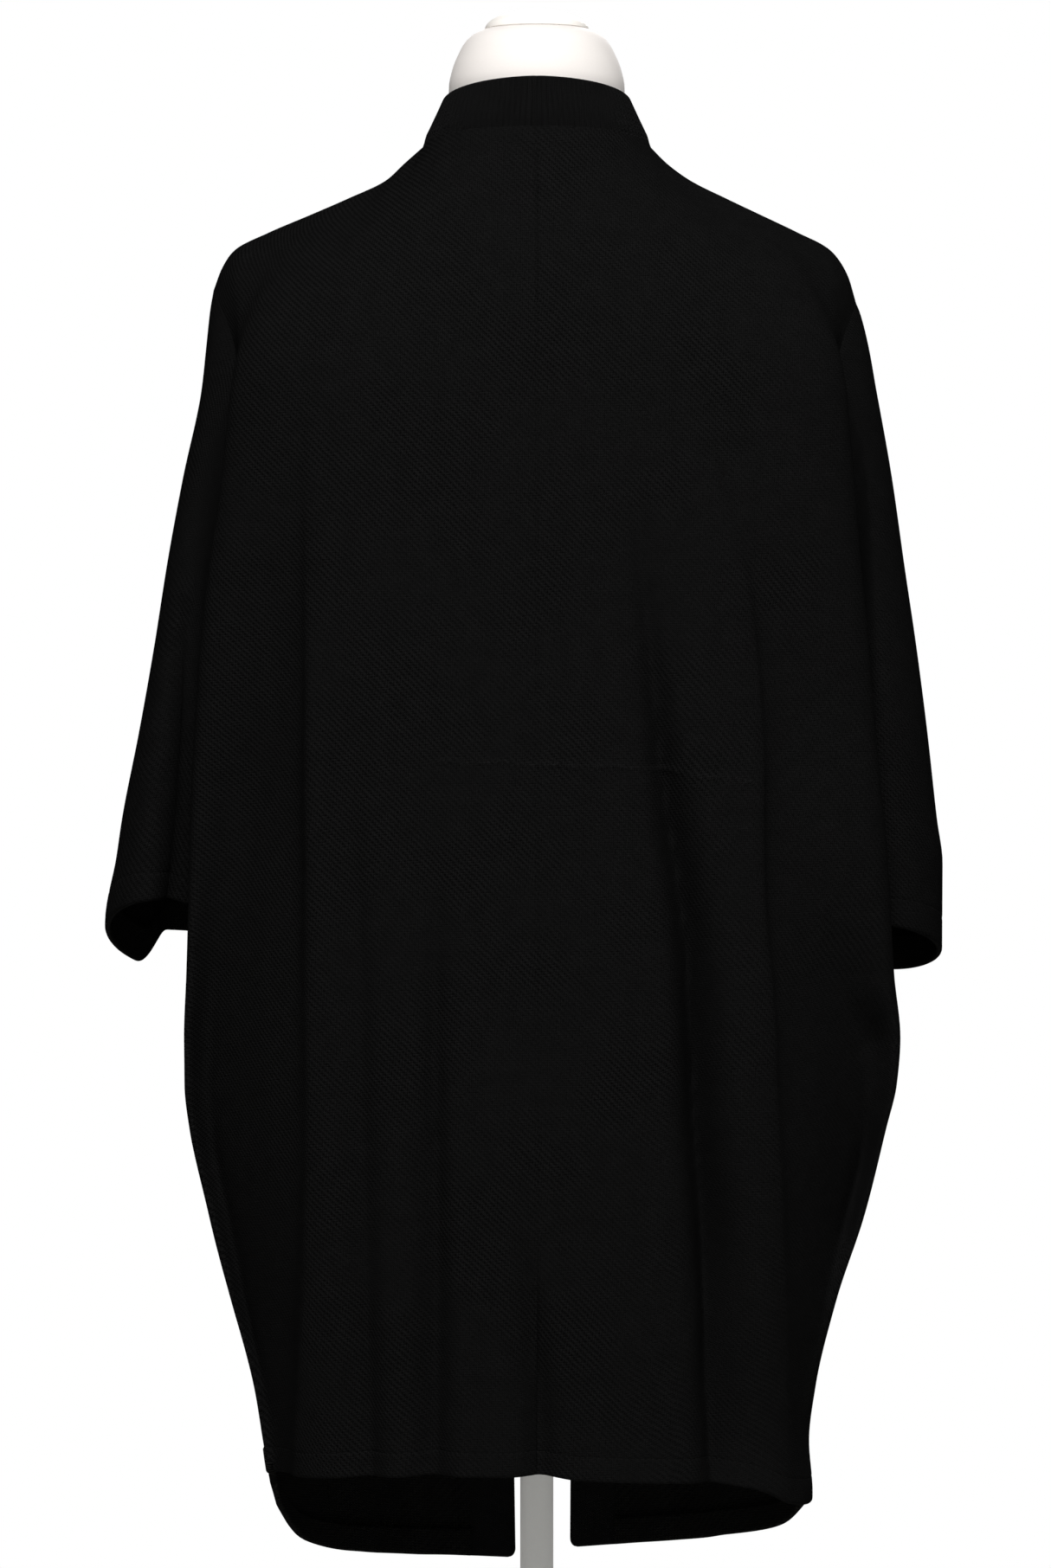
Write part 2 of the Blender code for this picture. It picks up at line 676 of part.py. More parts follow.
def build_torso():
    """The limbless torso with its neck, lofted from flat oval sections and closed top and bottom."""
    mesh = bmesh.new()
    angles = np.linspace(0, 2 * pi, FORM_COLUMNS, endpoint=False)
    rings = []
    for z in FORM.rows[:, 0]:
        depth = np.where(np.sin(angles) > 0, FORM.at("back_y", z), -FORM.at("front_y", z))
        power = FORM.at("power", z)
        x = FORM.at("half_width", z) * np.sign(np.cos(angles)) * np.abs(np.cos(angles)) ** power
        y = depth * np.sign(np.sin(angles)) * np.abs(np.sin(angles)) ** power
        rings.append([mesh.verts.new(point) for point in zip(x, y, np.full_like(x, z))])
    for lower, upper in zip(rings, rings[1:]):
        for c in range(FORM_COLUMNS):
            n = (c + 1) % FORM_COLUMNS
            mesh.faces.new((lower[c], lower[n], upper[n], upper[c]))
    mesh.faces.new(rings[0][::-1])
    mesh.faces.new(rings[-1])
    return add_object("form_torso", mesh)


def build_turned(name, profile):
    """A turned piece from a profile of radius and height, top to bottom down its outer side."""
    mesh = bmesh.new()
    points = [mesh.verts.new((radius, 0, z)) for radius, z in profile]
    for start, end in zip(points, points[1:]):
        mesh.edges.new((start, end))
    data = bpy.data.meshes.new(name)
    mesh.to_mesh(data)
    mesh.free()
    obj = bpy.data.objects.new(name, data)
    PART.objects.link(obj)
    screw = obj.modifiers.new("Turn", "SCREW")
    screw.steps = screw.render_steps = TURN_STEPS
    screw.use_merge_vertices = True
    screw.merge_threshold = MERGE
    screw.use_smooth_shade = True
    return obj


def cap_profile():
    """The neck cap: a low dome on a flat underside."""
    angles = np.linspace(pi / 2, 0, CAP_STEPS)
    bottom = NECK_RIM_Z + SEAM_GAP
    dome = [(CAP_RADIUS * np.cos(a), bottom + (CAP_TOP_Z - bottom) * np.sin(a)) for a in angles]
    return [*dome, (0.0, bottom)]


def base_profile():
    """The round base: a thin plate with a low crown and a collar that takes the pole."""
    return [
        (0.0, HUB_HEIGHT),
        (HUB_RADIUS, HUB_HEIGHT),
        (HUB_RADIUS, BASE_CROWN),
        (BASE_RADIUS - BASE_EDGE, BASE_EDGE),
        (BASE_RADIUS, BASE_EDGE / 2),
        (BASE_RADIUS, 0.0),
        (0.0, 0.0),
    ]


def build_pole():
    """The pole between the base's collar and the torso's underside."""
    bottom = HUB_HEIGHT + SEAM_GAP
    top = FORM.rows[0, 0] - SEAM_GAP
    return build_turned("stand_pole", [(0.0, top), (POLE_RADIUS, top), (POLE_RADIUS, bottom), (0.0, bottom)])


def finish(obj, color, roughness, metallic=0.0):
    """Gives an object a material of its own."""
    material = bpy.data.materials.new(obj.name)
    material.use_nodes = True
    shader = material.node_tree.nodes["Principled BSDF"]
    shader.inputs["Base Color"].default_value = (*color, 1)
    shader.inputs["Roughness"].default_value = roughness
    shader.inputs["Metallic"].default_value = metallic
    obj.data.materials.append(material)


def build_garment():
    """Every cut piece of the cardigan, in black knit."""
    surfaces = garment_surfaces()
    normals = shared_normals(surfaces)
    for name, grid in surfaces.items():
        finish(build_wall(name, grid, normals[name]), KNIT_COLOR, KNIT_ROUGHNESS)


def build_form():
    """The covered torso with its neck cap, and the stand that carries it."""
    finish(build_torso(), COVER_COLOR, COVER_ROUGHNESS)
    finish(build_turned("form_neck_cap", cap_profile()), CAP_COLOR, CAP_ROUGHNESS)
    finish(build_pole(), STAND_COLOR, STAND_ROUGHNESS)
    finish(build_turned("stand_base", base_profile()), STAND_COLOR, STAND_ROUGHNESS)


for old in list(bpy.data.objects):
    bpy.data.objects.remove(old, do_unlink=True)
PART = bpy.data.collections.new("cardigan_on_dress_form")
bpy.context.scene.collection.children.link(PART)
build_garment()
build_form()
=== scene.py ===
"""A black knitted open-front cardigan on a white limbless dress form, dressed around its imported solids.

Metres, +Z up. The garment faces -Y, so its back faces +Y and the camera, and the wearer's left is +X. Each
table holds real sizes, a row for each section or fold. A cut piece is laid out as rows of points from its top
edge down, and its columns run from the wearer's left to their right on the front and the other way on the
back, so that every piece has its outer face on the same hand.
"""

import logging
from collections.abc import Callable, Sequence
from dataclasses import dataclass, field
from enum import Enum
from functools import partial
from math import pi, sqrt
from typing import Any

import bpy
import numpy as np
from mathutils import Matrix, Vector

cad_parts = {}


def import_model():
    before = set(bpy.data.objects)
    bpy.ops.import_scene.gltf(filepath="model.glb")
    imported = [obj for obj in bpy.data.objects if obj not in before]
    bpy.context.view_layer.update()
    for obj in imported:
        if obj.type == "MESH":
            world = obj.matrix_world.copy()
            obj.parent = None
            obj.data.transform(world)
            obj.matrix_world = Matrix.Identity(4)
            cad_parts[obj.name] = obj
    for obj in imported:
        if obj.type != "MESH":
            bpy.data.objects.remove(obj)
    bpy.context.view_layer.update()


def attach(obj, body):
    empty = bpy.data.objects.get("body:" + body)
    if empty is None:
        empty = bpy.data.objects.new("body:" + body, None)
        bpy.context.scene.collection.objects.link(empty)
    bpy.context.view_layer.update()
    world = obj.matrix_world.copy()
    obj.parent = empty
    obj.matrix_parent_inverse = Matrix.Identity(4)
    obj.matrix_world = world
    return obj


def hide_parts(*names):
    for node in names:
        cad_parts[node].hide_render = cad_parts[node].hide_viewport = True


LOG = logging.getLogger("cardigan")

Grid = np.ndarray
Colour = tuple[float, float, float, float]

MILLIMETRE = 0.001
# The angle past which an edge is shaded sharp, on cloth and on a turned or lofted piece
CLOTH_SHARP = pi / 3
TURNED_SHARP = pi / 4
# Two points that agree in this many decimals of a metre are one place on a seam
SAME_PLACE_DIGITS = 6
KNIT_MAP = "knit"
WORN = "worn"
BODY = "root"


class Side(Enum):
    """The wearer's left or right."""

    LEFT = "left"
    RIGHT = "right"

    @property
    def mirror(self) -> tuple[int, int, int]:
        """What the points of a left piece are multiplied by."""
        return (1, 1, 1) if self is Side.LEFT else (-1, 1, 1)


class Edge(Enum):
    """How one edge of a cut piece is finished."""

    SEWN = "sewn"
    # Sewn too, but pressed so flat that its face shows no groove
    FLAT = "flat"
    HEMMED = "hemmed"
    FOLDED = "folded"

    @property
    def joined(self) -> bool:
        """Whether another piece is sewn to it."""
        return self in (Edge.SEWN, Edge.FLAT)


class Table:
    """Rows of real sizes under named columns, read along a smooth curve through them."""

    def __init__(self, columns: str, *rows: Sequence[float]) -> None:
        """Keeps the rows in the order of their first column."""
        self.columns = columns.split()
        self.rows = np.array(sorted(rows), float)

    def at(self, column: str, place: Any) -> np.ndarray:
        """Reads a column.

        Args:
            column: The column's name.
            place: Places along the first column, held level past either end.

        Returns:
            The column's value at each place.
        """
        xs = self.rows[:, 0]
        ys = self.rows[:, self.columns.index(column)]
        place = np.clip(np.asarray(place, float), xs[0], xs[-1])
        steps = np.diff(xs)
        slopes = np.diff(ys) / steps
        before, after = slopes[:-1], slopes[1:]
        same_way = before * after > 0
        total = np.where(same_way, before + after, 1.0)
        inner = np.where(same_way, 2 * before * after / total, 0.0)
        tangents = np.concatenate([slopes[:1], inner, slopes[-1:]])
        k = np.clip(np.searchsorted(xs, place) - 1, 0, len(steps) - 1)
        t = (place - xs[k]) / steps[k]
        rise = ys[k + 1] - ys[k]
        return (
            ys[k]
            + rise * t * t * (3 - 2 * t)
            + steps[k] * t * (1 - t) * (tangents[k] * (1 - t) - tangents[k + 1] * t)
        )


def crease(*rows: Sequence[float]) -> Table:
    """A crease's table: at each height its middle, how far its two sides reach, and its depth."""
    return Table("z x to_left to_right depth", *rows)


# The shoulder seam, from the neckline out over the shoulder's end to the armhole
SHOULDER = Table(
    "step left_x right_x left_z right_z",
    (0.0, 0.0712, 0.0712, 1.4148, 1.4148), (0.12, 0.0836, 0.0822, 1.4038, 1.4038),
    (0.22, 0.0957, 0.0974, 1.3928, 1.3928), (0.36, 0.1188, 0.1194, 1.3818, 1.3818),
    (0.52, 0.1441, 0.1425, 1.3708, 1.3708), (0.68, 0.17, 0.1656, 1.3598, 1.3598),
    (0.82, 0.1914, 0.1859, 1.3488, 1.3488), (0.92, 0.1991, 0.1966, 1.3378, 1.3335),
    (1.0, 0.2045, 0.2022, 1.3235, 1.315),
)

# Half width of the body at the roll behind each sleeve, and below the sleeves at the side
ROLL = Table(
    "z left_x right_x",
    (1.25, 0.1915, 0.193), (1.19, 0.198, 0.1985), (1.146, 0.2041, 0.202), (1.09, 0.21, 0.2074),
    (1.04, 0.2138, 0.2112), (0.96, 0.2172, 0.2192), (0.89, 0.2192, 0.2235), (0.848, 0.2211, 0.2277),
    (0.821, 0.2211, 0.2261), (0.793, 0.2184, 0.22), (0.738, 0.2063, 0.2063), (0.683, 0.1925, 0.1887),
    (0.628, 0.1782, 0.1749), (0.595, 0.1733, 0.1712), (0.562, 0.168, 0.1735), (0.5, 0.156, 0.16),
)

# Depths of the body's sections, and how far the side is pushed in where a sleeve hangs over it
SECTIONS = Table(
    "z back_y roll_y back_in back_seam_y front_in front_seam_y chest_in chest_y front_y",
    (1.25, 0.112, 0.064, 0.006, 0.036, 0.028, -0.07, 0.024, -0.095, -0.13),
    (1.18, 0.119, 0.062, 0.01, 0.03, 0.034, -0.07, 0.029, -0.096, -0.142),
    (1.13, 0.122, 0.06, 0.018, 0.012, 0.035, -0.056, 0.032, -0.09, -0.142),
    (1.09, 0.124, 0.06, 0.032, -0.024, 0.032, -0.024, 0.037, -0.08, -0.14),
    (1.06, 0.126, 0.058, 0.043, -0.022, 0.043, -0.022, 0.046, -0.078, -0.139),
    (1.0, 0.129, 0.056, 0.046, -0.018, 0.046, -0.018, 0.05, -0.076, -0.138),
    (0.93, 0.132, 0.05, 0.043, -0.012, 0.043, -0.012, 0.049, -0.072, -0.138),
    (0.89, 0.133, 0.042, 0.032, -0.009, 0.032, -0.009, 0.038, -0.064, -0.138),
    (0.85, 0.133, 0.034, 0.012, -0.006, 0.012, -0.006, 0.016, -0.054, -0.138),
    (0.79, 0.132, 0.022, 0.002, -0.002, 0.002, -0.002, 0.003, -0.04, -0.137),
    (0.7, 0.127, 0.012, 0.0, 0.0, 0.0, 0.0, 0.0, -0.03, -0.135),
    (0.6, 0.118, 0.008, 0.0, 0.0, 0.0, 0.0, 0.0, -0.022, -0.131),
    (0.5, 0.112, 0.006, 0.0, 0.0, 0.0, 0.0, 0.0, -0.016, -0.127),
)

# Distance of each front panel's edge from the middle, where the band joins it
FRONT_EDGE = Table(
    "z left_x right_x",
    (1.25, 0.061, 0.063), (1.12, 0.056, 0.059), (0.95, 0.051, 0.056), (0.7, 0.046, 0.053),
    (0.5, 0.0434, 0.0515),
)

# The hem's height, from the middle of the back round to each side seam, and on to the front edge
HEM = Table(
    "turn left_z right_z",
    (0.0, 0.581, 0.581), (0.06, 0.581, 0.5785), (0.3, 0.579, 0.5755), (0.45, 0.5775, 0.5705),
    (0.6, 0.576, 0.559), (0.75, 0.574, 0.556), (1.0, 0.564, 0.5575), (1.2, 0.544, 0.549),
    (1.4, 0.521, 0.531), (1.6, 0.511, 0.522), (2.0, 0.505, 0.5125),
)

# How round a crease's floor is: 2 is round, and less is sharper
FURROW_POWER = 1.75

# Creases that hang down the back: where each runs, how far its sides reach, and how deep it is
BACK_FOLDS = (
    crease(
        (1.29, 0.145, 0.006, 0.006, 0.0), (1.2, 0.147, 0.008, 0.006, 0.003),
        (1.071, 0.151, 0.01, 0.007, 0.006), (0.93, 0.153, 0.012, 0.008, 0.007),
        (0.791, 0.153, 0.012, 0.009, 0.006), (0.635, 0.158, 0.01, 0.009, 0.005),
        (0.56, 0.159, 0.01, 0.01, 0.004),
    ),
    crease(
        (1.06, 0.1145, 0.006, 0.006, 0.0), (1.0, 0.114, 0.007, 0.007, 0.002),
        (0.96, 0.113, 0.008, 0.007, 0.004), (0.906, 0.111, 0.01, 0.009, 0.006),
        (0.8, 0.109, 0.012, 0.01, 0.009), (0.7, 0.108, 0.013, 0.01, 0.0105),
        (0.56, 0.106, 0.014, 0.011, 0.012),
    ),
    crease(
        (1.08, 0.066, 0.007, 0.007, 0.0), (0.968, 0.062, 0.008, 0.008, 0.003),
        (0.875, 0.063, 0.008, 0.007, 0.008), (0.7, 0.063, 0.012, 0.009, 0.013),
        (0.56, 0.065, 0.016, 0.011, 0.016),
    ),
    crease(
        (0.8, 0.014, 0.006, 0.006, 0.0), (0.741, 0.013, 0.007, 0.007, 0.002),
        (0.708, 0.0077, 0.007, 0.008, 0.0055), (0.676, 0.0034, 0.008, 0.009, 0.0085),
        (0.625, -0.0015, 0.01, 0.011, 0.0115), (0.56, -0.003, 0.012, 0.012, 0.0135),
    ),
    crease(
        (1.2, -0.062, 0.004, 0.004, 0.0), (1.173, -0.063, 0.006, 0.007, 0.003),
        (1.088, -0.071, 0.008, 0.01, 0.0115), (1.024, -0.078, 0.009, 0.011, 0.02),
        (0.907, -0.095, 0.01, 0.013, 0.029), (0.853, -0.099, 0.01, 0.013, 0.032),
        (0.801, -0.102, 0.011, 0.013, 0.033), (0.7595, -0.1065, 0.012, 0.014, 0.033),
        (0.718, -0.111, 0.013, 0.015, 0.033), (0.6763, -0.113, 0.012, 0.015, 0.029),
        (0.645, -0.114, 0.013, 0.016, 0.027), (0.604, -0.117, 0.014, 0.017, 0.024),
        (0.56, -0.118, 0.014, 0.018, 0.021),
    ),
    crease(
        (1.25, -0.111, 0.006, 0.006, 0.0), (1.216, -0.1144, 0.006, 0.007, 0.0015),
        (1.12, -0.138, 0.007, 0.008, 0.005), (1.04, -0.146, 0.008, 0.009, 0.006),
        (0.94, -0.149, 0.008, 0.011, 0.007), (0.85, -0.156, 0.01, 0.013, 0.007),
        (0.739, -0.16, 0.011, 0.013, 0.005), (0.63, -0.16, 0.01, 0.01, 0.0),
    ),
    # Two slight creases that fan out under the top of the deepest one, and a fine one beside the middle seam
    crease(
        (1.18, -0.066, 0.004, 0.004, 0.0), (1.12, -0.081, 0.004, 0.005, 0.0012),
        (1.06, -0.093, 0.005, 0.006, 0.0014), (1.01, -0.102, 0.006, 0.007, 0.0),
    ),
    crease(
        (1.25, -0.02, 0.006, 0.006, 0.0), (1.15, -0.042, 0.006, 0.006, 0.0008),
        (1.06, -0.06, 0.006, 0.006, 0.001), (1.0, -0.07, 0.006, 0.006, 0.0),
    ),
    crease(
        (0.79, -0.009, 0.002, 0.002, 0.0), (0.74, -0.01, 0.0025, 0.0025, 0.0008),
        (0.69, -0.013, 0.0025, 0.0025, 0.0008), (0.67, -0.014, 0.002, 0.002, 0.0),
    ),
)

# The same for the two fronts, which hang in like folds
FRONT_FOLDS = (
    crease(
        (1.18, 0.118, 0.012, 0.01, 0.0), (1.08, 0.119, 0.015, 0.01, 0.0035),
        (1.0, 0.121, 0.018, 0.011, 0.008), (0.8, 0.129, 0.024, 0.013, 0.0125),
        (0.5, 0.12, 0.02, 0.014, 0.009),
    ),
    crease(
        (1.14, 0.076, 0.005, 0.005, 0.0), (1.04, 0.078, 0.007, 0.008, 0.0025),
        (0.9, 0.082, 0.01, 0.012, 0.005), (0.5, 0.08, 0.012, 0.014, 0.0085),
    ),
    crease(
        (1.2, -0.112, 0.01, 0.012, 0.0), (1.1, -0.117, 0.01, 0.014, 0.004),
        (1.0, -0.122, 0.011, 0.017, 0.009), (0.8, -0.135, 0.012, 0.024, 0.0125),
        (0.5, -0.126, 0.013, 0.02, 0.008),
    ),
    crease(
        (1.1, -0.084, 0.005, 0.005, 0.0), (0.98, -0.086, 0.007, 0.008, 0.003),
        (0.85, -0.088, 0.01, 0.012, 0.006), (0.5, -0.086, 0.012, 0.014, 0.0075),
    ),
)

# Where the middle of the back overhangs each flank: the line that it falls in from, where the fall ends short
# of the outline, and its depth
FLANKS = {
    Side.LEFT: Table(
        "z start end depth",
        (1.27, 0.146, 0.158, 0.0), (1.2, 0.145, 0.16, 0.005), (1.13, 0.144, 0.163, 0.012),
        (1.07, 0.1435, 0.166, 0.021), (0.985, 0.1425, 0.178, 0.037), (0.93, 0.142, 0.19, 0.041),
        (0.89, 0.142, 0.198, 0.045), (0.83, 0.142, 0.204, 0.05), (0.785, 0.1425, 0.202, 0.052),
        (0.74, 0.144, 0.193, 0.05), (0.677, 0.146, 0.181, 0.045), (0.623, 0.152, 0.17, 0.031),
        (0.56, 0.154, 0.163, 0.022),
    ),
    Side.RIGHT: Table(
        "z start end depth",
        (1.25, 0.115, 0.122, 0.0), (1.18, 0.125, 0.134, 0.003), (1.12, 0.1347, 0.147, 0.007),
        (1.041, 0.142, 0.156, 0.015), (0.985, 0.1425, 0.16, 0.016), (0.941, 0.143, 0.168, 0.022),
        (0.884, 0.147, 0.186, 0.036), (0.845, 0.15, 0.203, 0.05), (0.784, 0.1525, 0.203, 0.052),
        (0.74, 0.1545, 0.194, 0.049), (0.7, 0.156, 0.183, 0.034), (0.666, 0.156, 0.176, 0.022),
        (0.62, 0.156, 0.167, 0.01), (0.56, 0.156, 0.166, 0.003),
    ),
}

# A faint ridge across the back, where the garment lay folded in store
STORAGE_CREASE = Table(
    "x z height",
    (-0.142, 1.0105, 0.0), (-0.13, 1.0115, 0.0006), (-0.116, 1.014, 0.0002), (-0.104, 1.0135, 0.0009),
    (-0.092, 1.016, 0.0003), (-0.08, 1.0195, 0.0009), (-0.064, 1.019, 0.0003), (-0.046, 1.021, 0.001),
    (-0.028, 1.02, 0.0002), (-0.012, 1.022, 0.0009), (0.008, 1.0215, 0.0003), (0.024, 1.0235, 0.0008),
    (0.042, 1.0225, 0.0002), (0.056, 1.024, 0.0007), (0.066, 1.0235, 0.0),
)
STORAGE_CREASE_REACH = 0.0018
STORAGE_CREASE_ROWS = np.linspace(1.0080, 1.0270, 24)

# How far out each sleeve's outer edge hangs
SLEEVE_EDGE = Table(
    "z left_x right_x",
    (1.3235, 0.2045, 0.198), (1.31, 0.2068, 0.2045), (1.288, 0.209, 0.2101), (1.261, 0.2112, 0.2145),
    (1.206, 0.2222, 0.2239), (1.151, 0.2327, 0.2321), (1.096, 0.242, 0.2409), (1.041, 0.2525, 0.2486),
    (0.986, 0.264, 0.2552), (0.958, 0.2684, 0.259), (0.92, 0.2756, 0.259), (0.9, 0.276, 0.259),
)

# The way the cloth leaves the armhole, a quarter turn at a time from the shoulder by the front
SLEEVE_START = Table(
    "turn out back up reach",
    (0.0, 0.35, 0.0, -0.94, 0.06), (0.25, 0.9, 0.05, -0.45, 0.05), (0.5, 0.95, 0.0, -0.3, 0.03),
    (0.75, 0.85, -0.35, -0.4, 0.045), (1.0, 0.35, 0.0, -0.94, 0.06),
)

# The valley that runs down the back of the left sleeve to its cuff
SLEEVE_VALLEY = crease(
    (1.13, 0.223, 0.005, 0.008, 0.0), (1.09, 0.227, 0.005, 0.01, 0.007),
    (1.04, 0.2295, 0.006, 0.013, 0.016), (0.97, 0.2335, 0.007, 0.015, 0.022),
    (0.9, 0.2365, 0.007, 0.016, 0.024),
)

# Sections of the dress form: half width, how far it reaches behind and before, and how square it is
FORM = Table(
    "z half_width back_y front_y power",
    (0.8, 0.15, 0.088, -0.088, 0.9), (0.87, 0.158, 0.1, -0.094, 0.9), (0.95, 0.142, 0.088, -0.09, 0.92),
    (1.03, 0.122, 0.07, -0.084, 0.94), (1.11, 0.134, 0.078, -0.102, 0.9),
    (1.18, 0.148, 0.092, -0.122, 0.88), (1.24, 0.158, 0.096, -0.112, 0.86),
    (1.29, 0.168, 0.086, -0.088, 0.86), (1.325, 0.174, 0.07, -0.066, 0.9),
    (1.345, 0.172, 0.056, -0.052, 1.0), (1.356, 0.162, 0.048, -0.044, 1.0),
    (1.367, 0.143, 0.044, -0.042, 1.0), (1.378, 0.117, 0.046, -0.044, 1.0),
    (1.389, 0.094, 0.05, -0.048, 1.0), (1.4, 0.0815, 0.052, -0.051, 1.0),
    (1.411, 0.069, 0.054, -0.053, 1.0), (1.422, 0.06, 0.056, -0.055, 1.0),
    (1.433, 0.056, 0.056, -0.056, 1.0), (1.453, 0.0558, 0.0558, -0.0558, 1.0),
    (1.464, 0.0536, 0.0536, -0.0536, 1.0), (1.472, 0.0505, 0.0505, -0.0505, 1.0),
    (1.481, 0.0456, 0.0456, -0.0456, 1.0), (1.4865, 0.0396, 0.0396, -0.0396, 1.0),
    (1.489, 0.0336, 0.0336, -0.0336, 1.0),
)


def unit(vectors: np.ndarray) -> np.ndarray:
    """Each vector at length one."""
    return vectors / np.linalg.norm(vectors, axis=-1, keepdims=True)


def ease(t: Any) -> Any:
    """Runs from 0 to 1 and is level at both ends."""
    return t * t * (3 - 2 * t)


def share_of(value: Any) -> Any:
    """The value held between 0 and 1."""
    return np.clip(value, 0, 1)


def normals_of(grid: Grid, ring: bool = False) -> Grid:
    """Finds which way a surface faces.

    Args:
        grid: Rows of points.
        ring: Whether the last column runs on into the first.

    Returns:
        The unit normal at each point, facing out.
    """
    if ring:
        wide = np.concatenate([grid[:, -2:], grid, grid[:, :2]], axis=1)
        across = np.gradient(wide, axis=1)[:, 2:-2]
    else:
        across = np.gradient(grid, axis=1)
    down = np.gradient(grid, axis=0)
    return unit(np.cross(across, down))


def bezier(start: Grid, start_way: Grid, end_way: Grid, end: Grid, count: int) -> Grid:
    """Lays rows of points along cubic curves, one for each column.

    Args:
        start: Where each column starts.
        start_way: How far and which way it leaves there.
        end_way: How far and from which way it comes in at its end.
        end: Where each column ends.
        count: How many steps each column has.

    Returns:
        The rows of points, from start to end.
    """
    t = np.linspace(0, 1, count + 1)[:, None, None]
    return (
        start * (1 - t) ** 3
        + 3 * (start + start_way) * t * (1 - t) ** 2
        + 3 * (end + end_way) * t * t * (1 - t)
        + end * t**3
    )


def resampled(grid: Grid, places: np.ndarray, axis: int) -> Grid:
    """Reads a grid between its own rows or columns, along smooth curves through them.

    Args:
        grid: Rows and columns of points or values.
        places: Fractional places along the axis.
        axis: 0 for rows, 1 for columns.

    Returns:
        The grid at those places.
    """
    grid = np.moveaxis(grid, axis, 0)
    grid = np.concatenate([2 * grid[:1] - grid[1:2], grid, 2 * grid[-1:] - grid[-2:-1]])
    k = np.clip(places.astype(int), 0, len(grid) - 4)
    t = (places - k).reshape(-1, *[1] * (grid.ndim - 1))
    before, start, end, after = (grid[k + step] for step in range(4))
    bend = 2 * before - 5 * start + 4 * end - after
    twist = 3 * (start - end) + after - before
    found = start + t * (end - before + t * (bend + t * twist)) / 2
    return np.moveaxis(found, 0, axis)


def lengths_along(grid: Grid, axis: int) -> np.ndarray:
    """How far each point of a grid lies along its row or column.

    Args:
        grid: Rows of points.
        axis: 0 to measure down the rows, 1 across them.

    Returns:
        How far along each point lies.
    """
    steps = np.linalg.norm(np.diff(grid, axis=axis), axis=-1)
    start = np.zeros_like(np.take(steps, [0], axis=axis))
    return np.concatenate([start, np.cumsum(steps, axis=axis)], axis=axis)


def furrow(fold: Table, x: np.ndarray, z: np.ndarray) -> np.ndarray:
    """Works out the depth of one crease, soft at its sides and its ends.

    Args:
        fold: The crease's table.
        x: How far each point lies to the wearer's left.
        z: How high it lies.

    Returns:
        How far each point is pushed in.
    """
    middle = fold.at("x", z)
    reach = np.where(x > middle, fold.at("to_left", z), fold.at("to_right", z))
    inside = (z >= fold.rows[0, 0]) & (z <= fold.rows[-1, 0])
    away = np.abs(x - middle) / reach
    return np.where(inside, fold.at("depth", z) * np.exp(-(away**FURROW_POWER)), 0.0)


def ridge(points: Grid) -> np.ndarray:
    """How far the storage crease lifts each point of the back.

    Args:
        points: Points on the back.

    Returns:
        The crease's height at each point.
    """
    across, height = points[..., 0], points[..., 2]
    away = (height - STORAGE_CREASE.at("z", across)) / STORAGE_CREASE_REACH
    return STORAGE_CREASE.at("height", across) * np.exp(-(away**2))


@dataclass(frozen=True)
class Unevenness:
    """The slight, mostly upright undulation of hanging knit, the same on both sides of a seam."""

    height: float = 0.0011
    shortest: float = 0.035
    longest: float = 0.090
    waves: int = 9
    lean: float = 0.25
    seed: int = 7
    calm_top_z: float = 1.37
    full_z: float = 1.27

    def at(self, points: Grid) -> np.ndarray:
        """How far out, or in, the cloth stands at each point.

        Args:
            points: Points on the cloth.

        Returns:
            How far out the cloth stands there.
        """
        draws = np.random.default_rng(self.seed)
        lengths = draws.uniform(self.shortest, self.longest, self.waves)
        turns = draws.uniform(0, 2 * pi, self.waves)
        leans = draws.normal(0, self.lean, self.waves)
        starts = draws.uniform(0, 2 * pi, self.waves)
        ways = np.stack([np.cos(turns), np.sin(turns), leans], axis=-1)
        swell = np.sin(points @ (ways * 2 * pi / lengths[:, None]).T + starts).mean(axis=-1)
        fade = ease(share_of((self.calm_top_z - points[..., 2]) / (self.calm_top_z - self.full_z)))
        return self.height * swell * fade


@dataclass(frozen=True)
class Cuff:
    """A cuff's ring: half its width, its outer edge, its height, and its rise outside and behind."""

    half_width: float
    outer_x: float
    z: float
    outside: float
    behind: float
    # How much higher its front edge is where it nears the body, and where on the way round that starts
    front_rise: float = 0.0
    rise_from: float = 0.63
    rise_rate: float = 2.0
    depth: float = 0.064
    y: float = -0.040


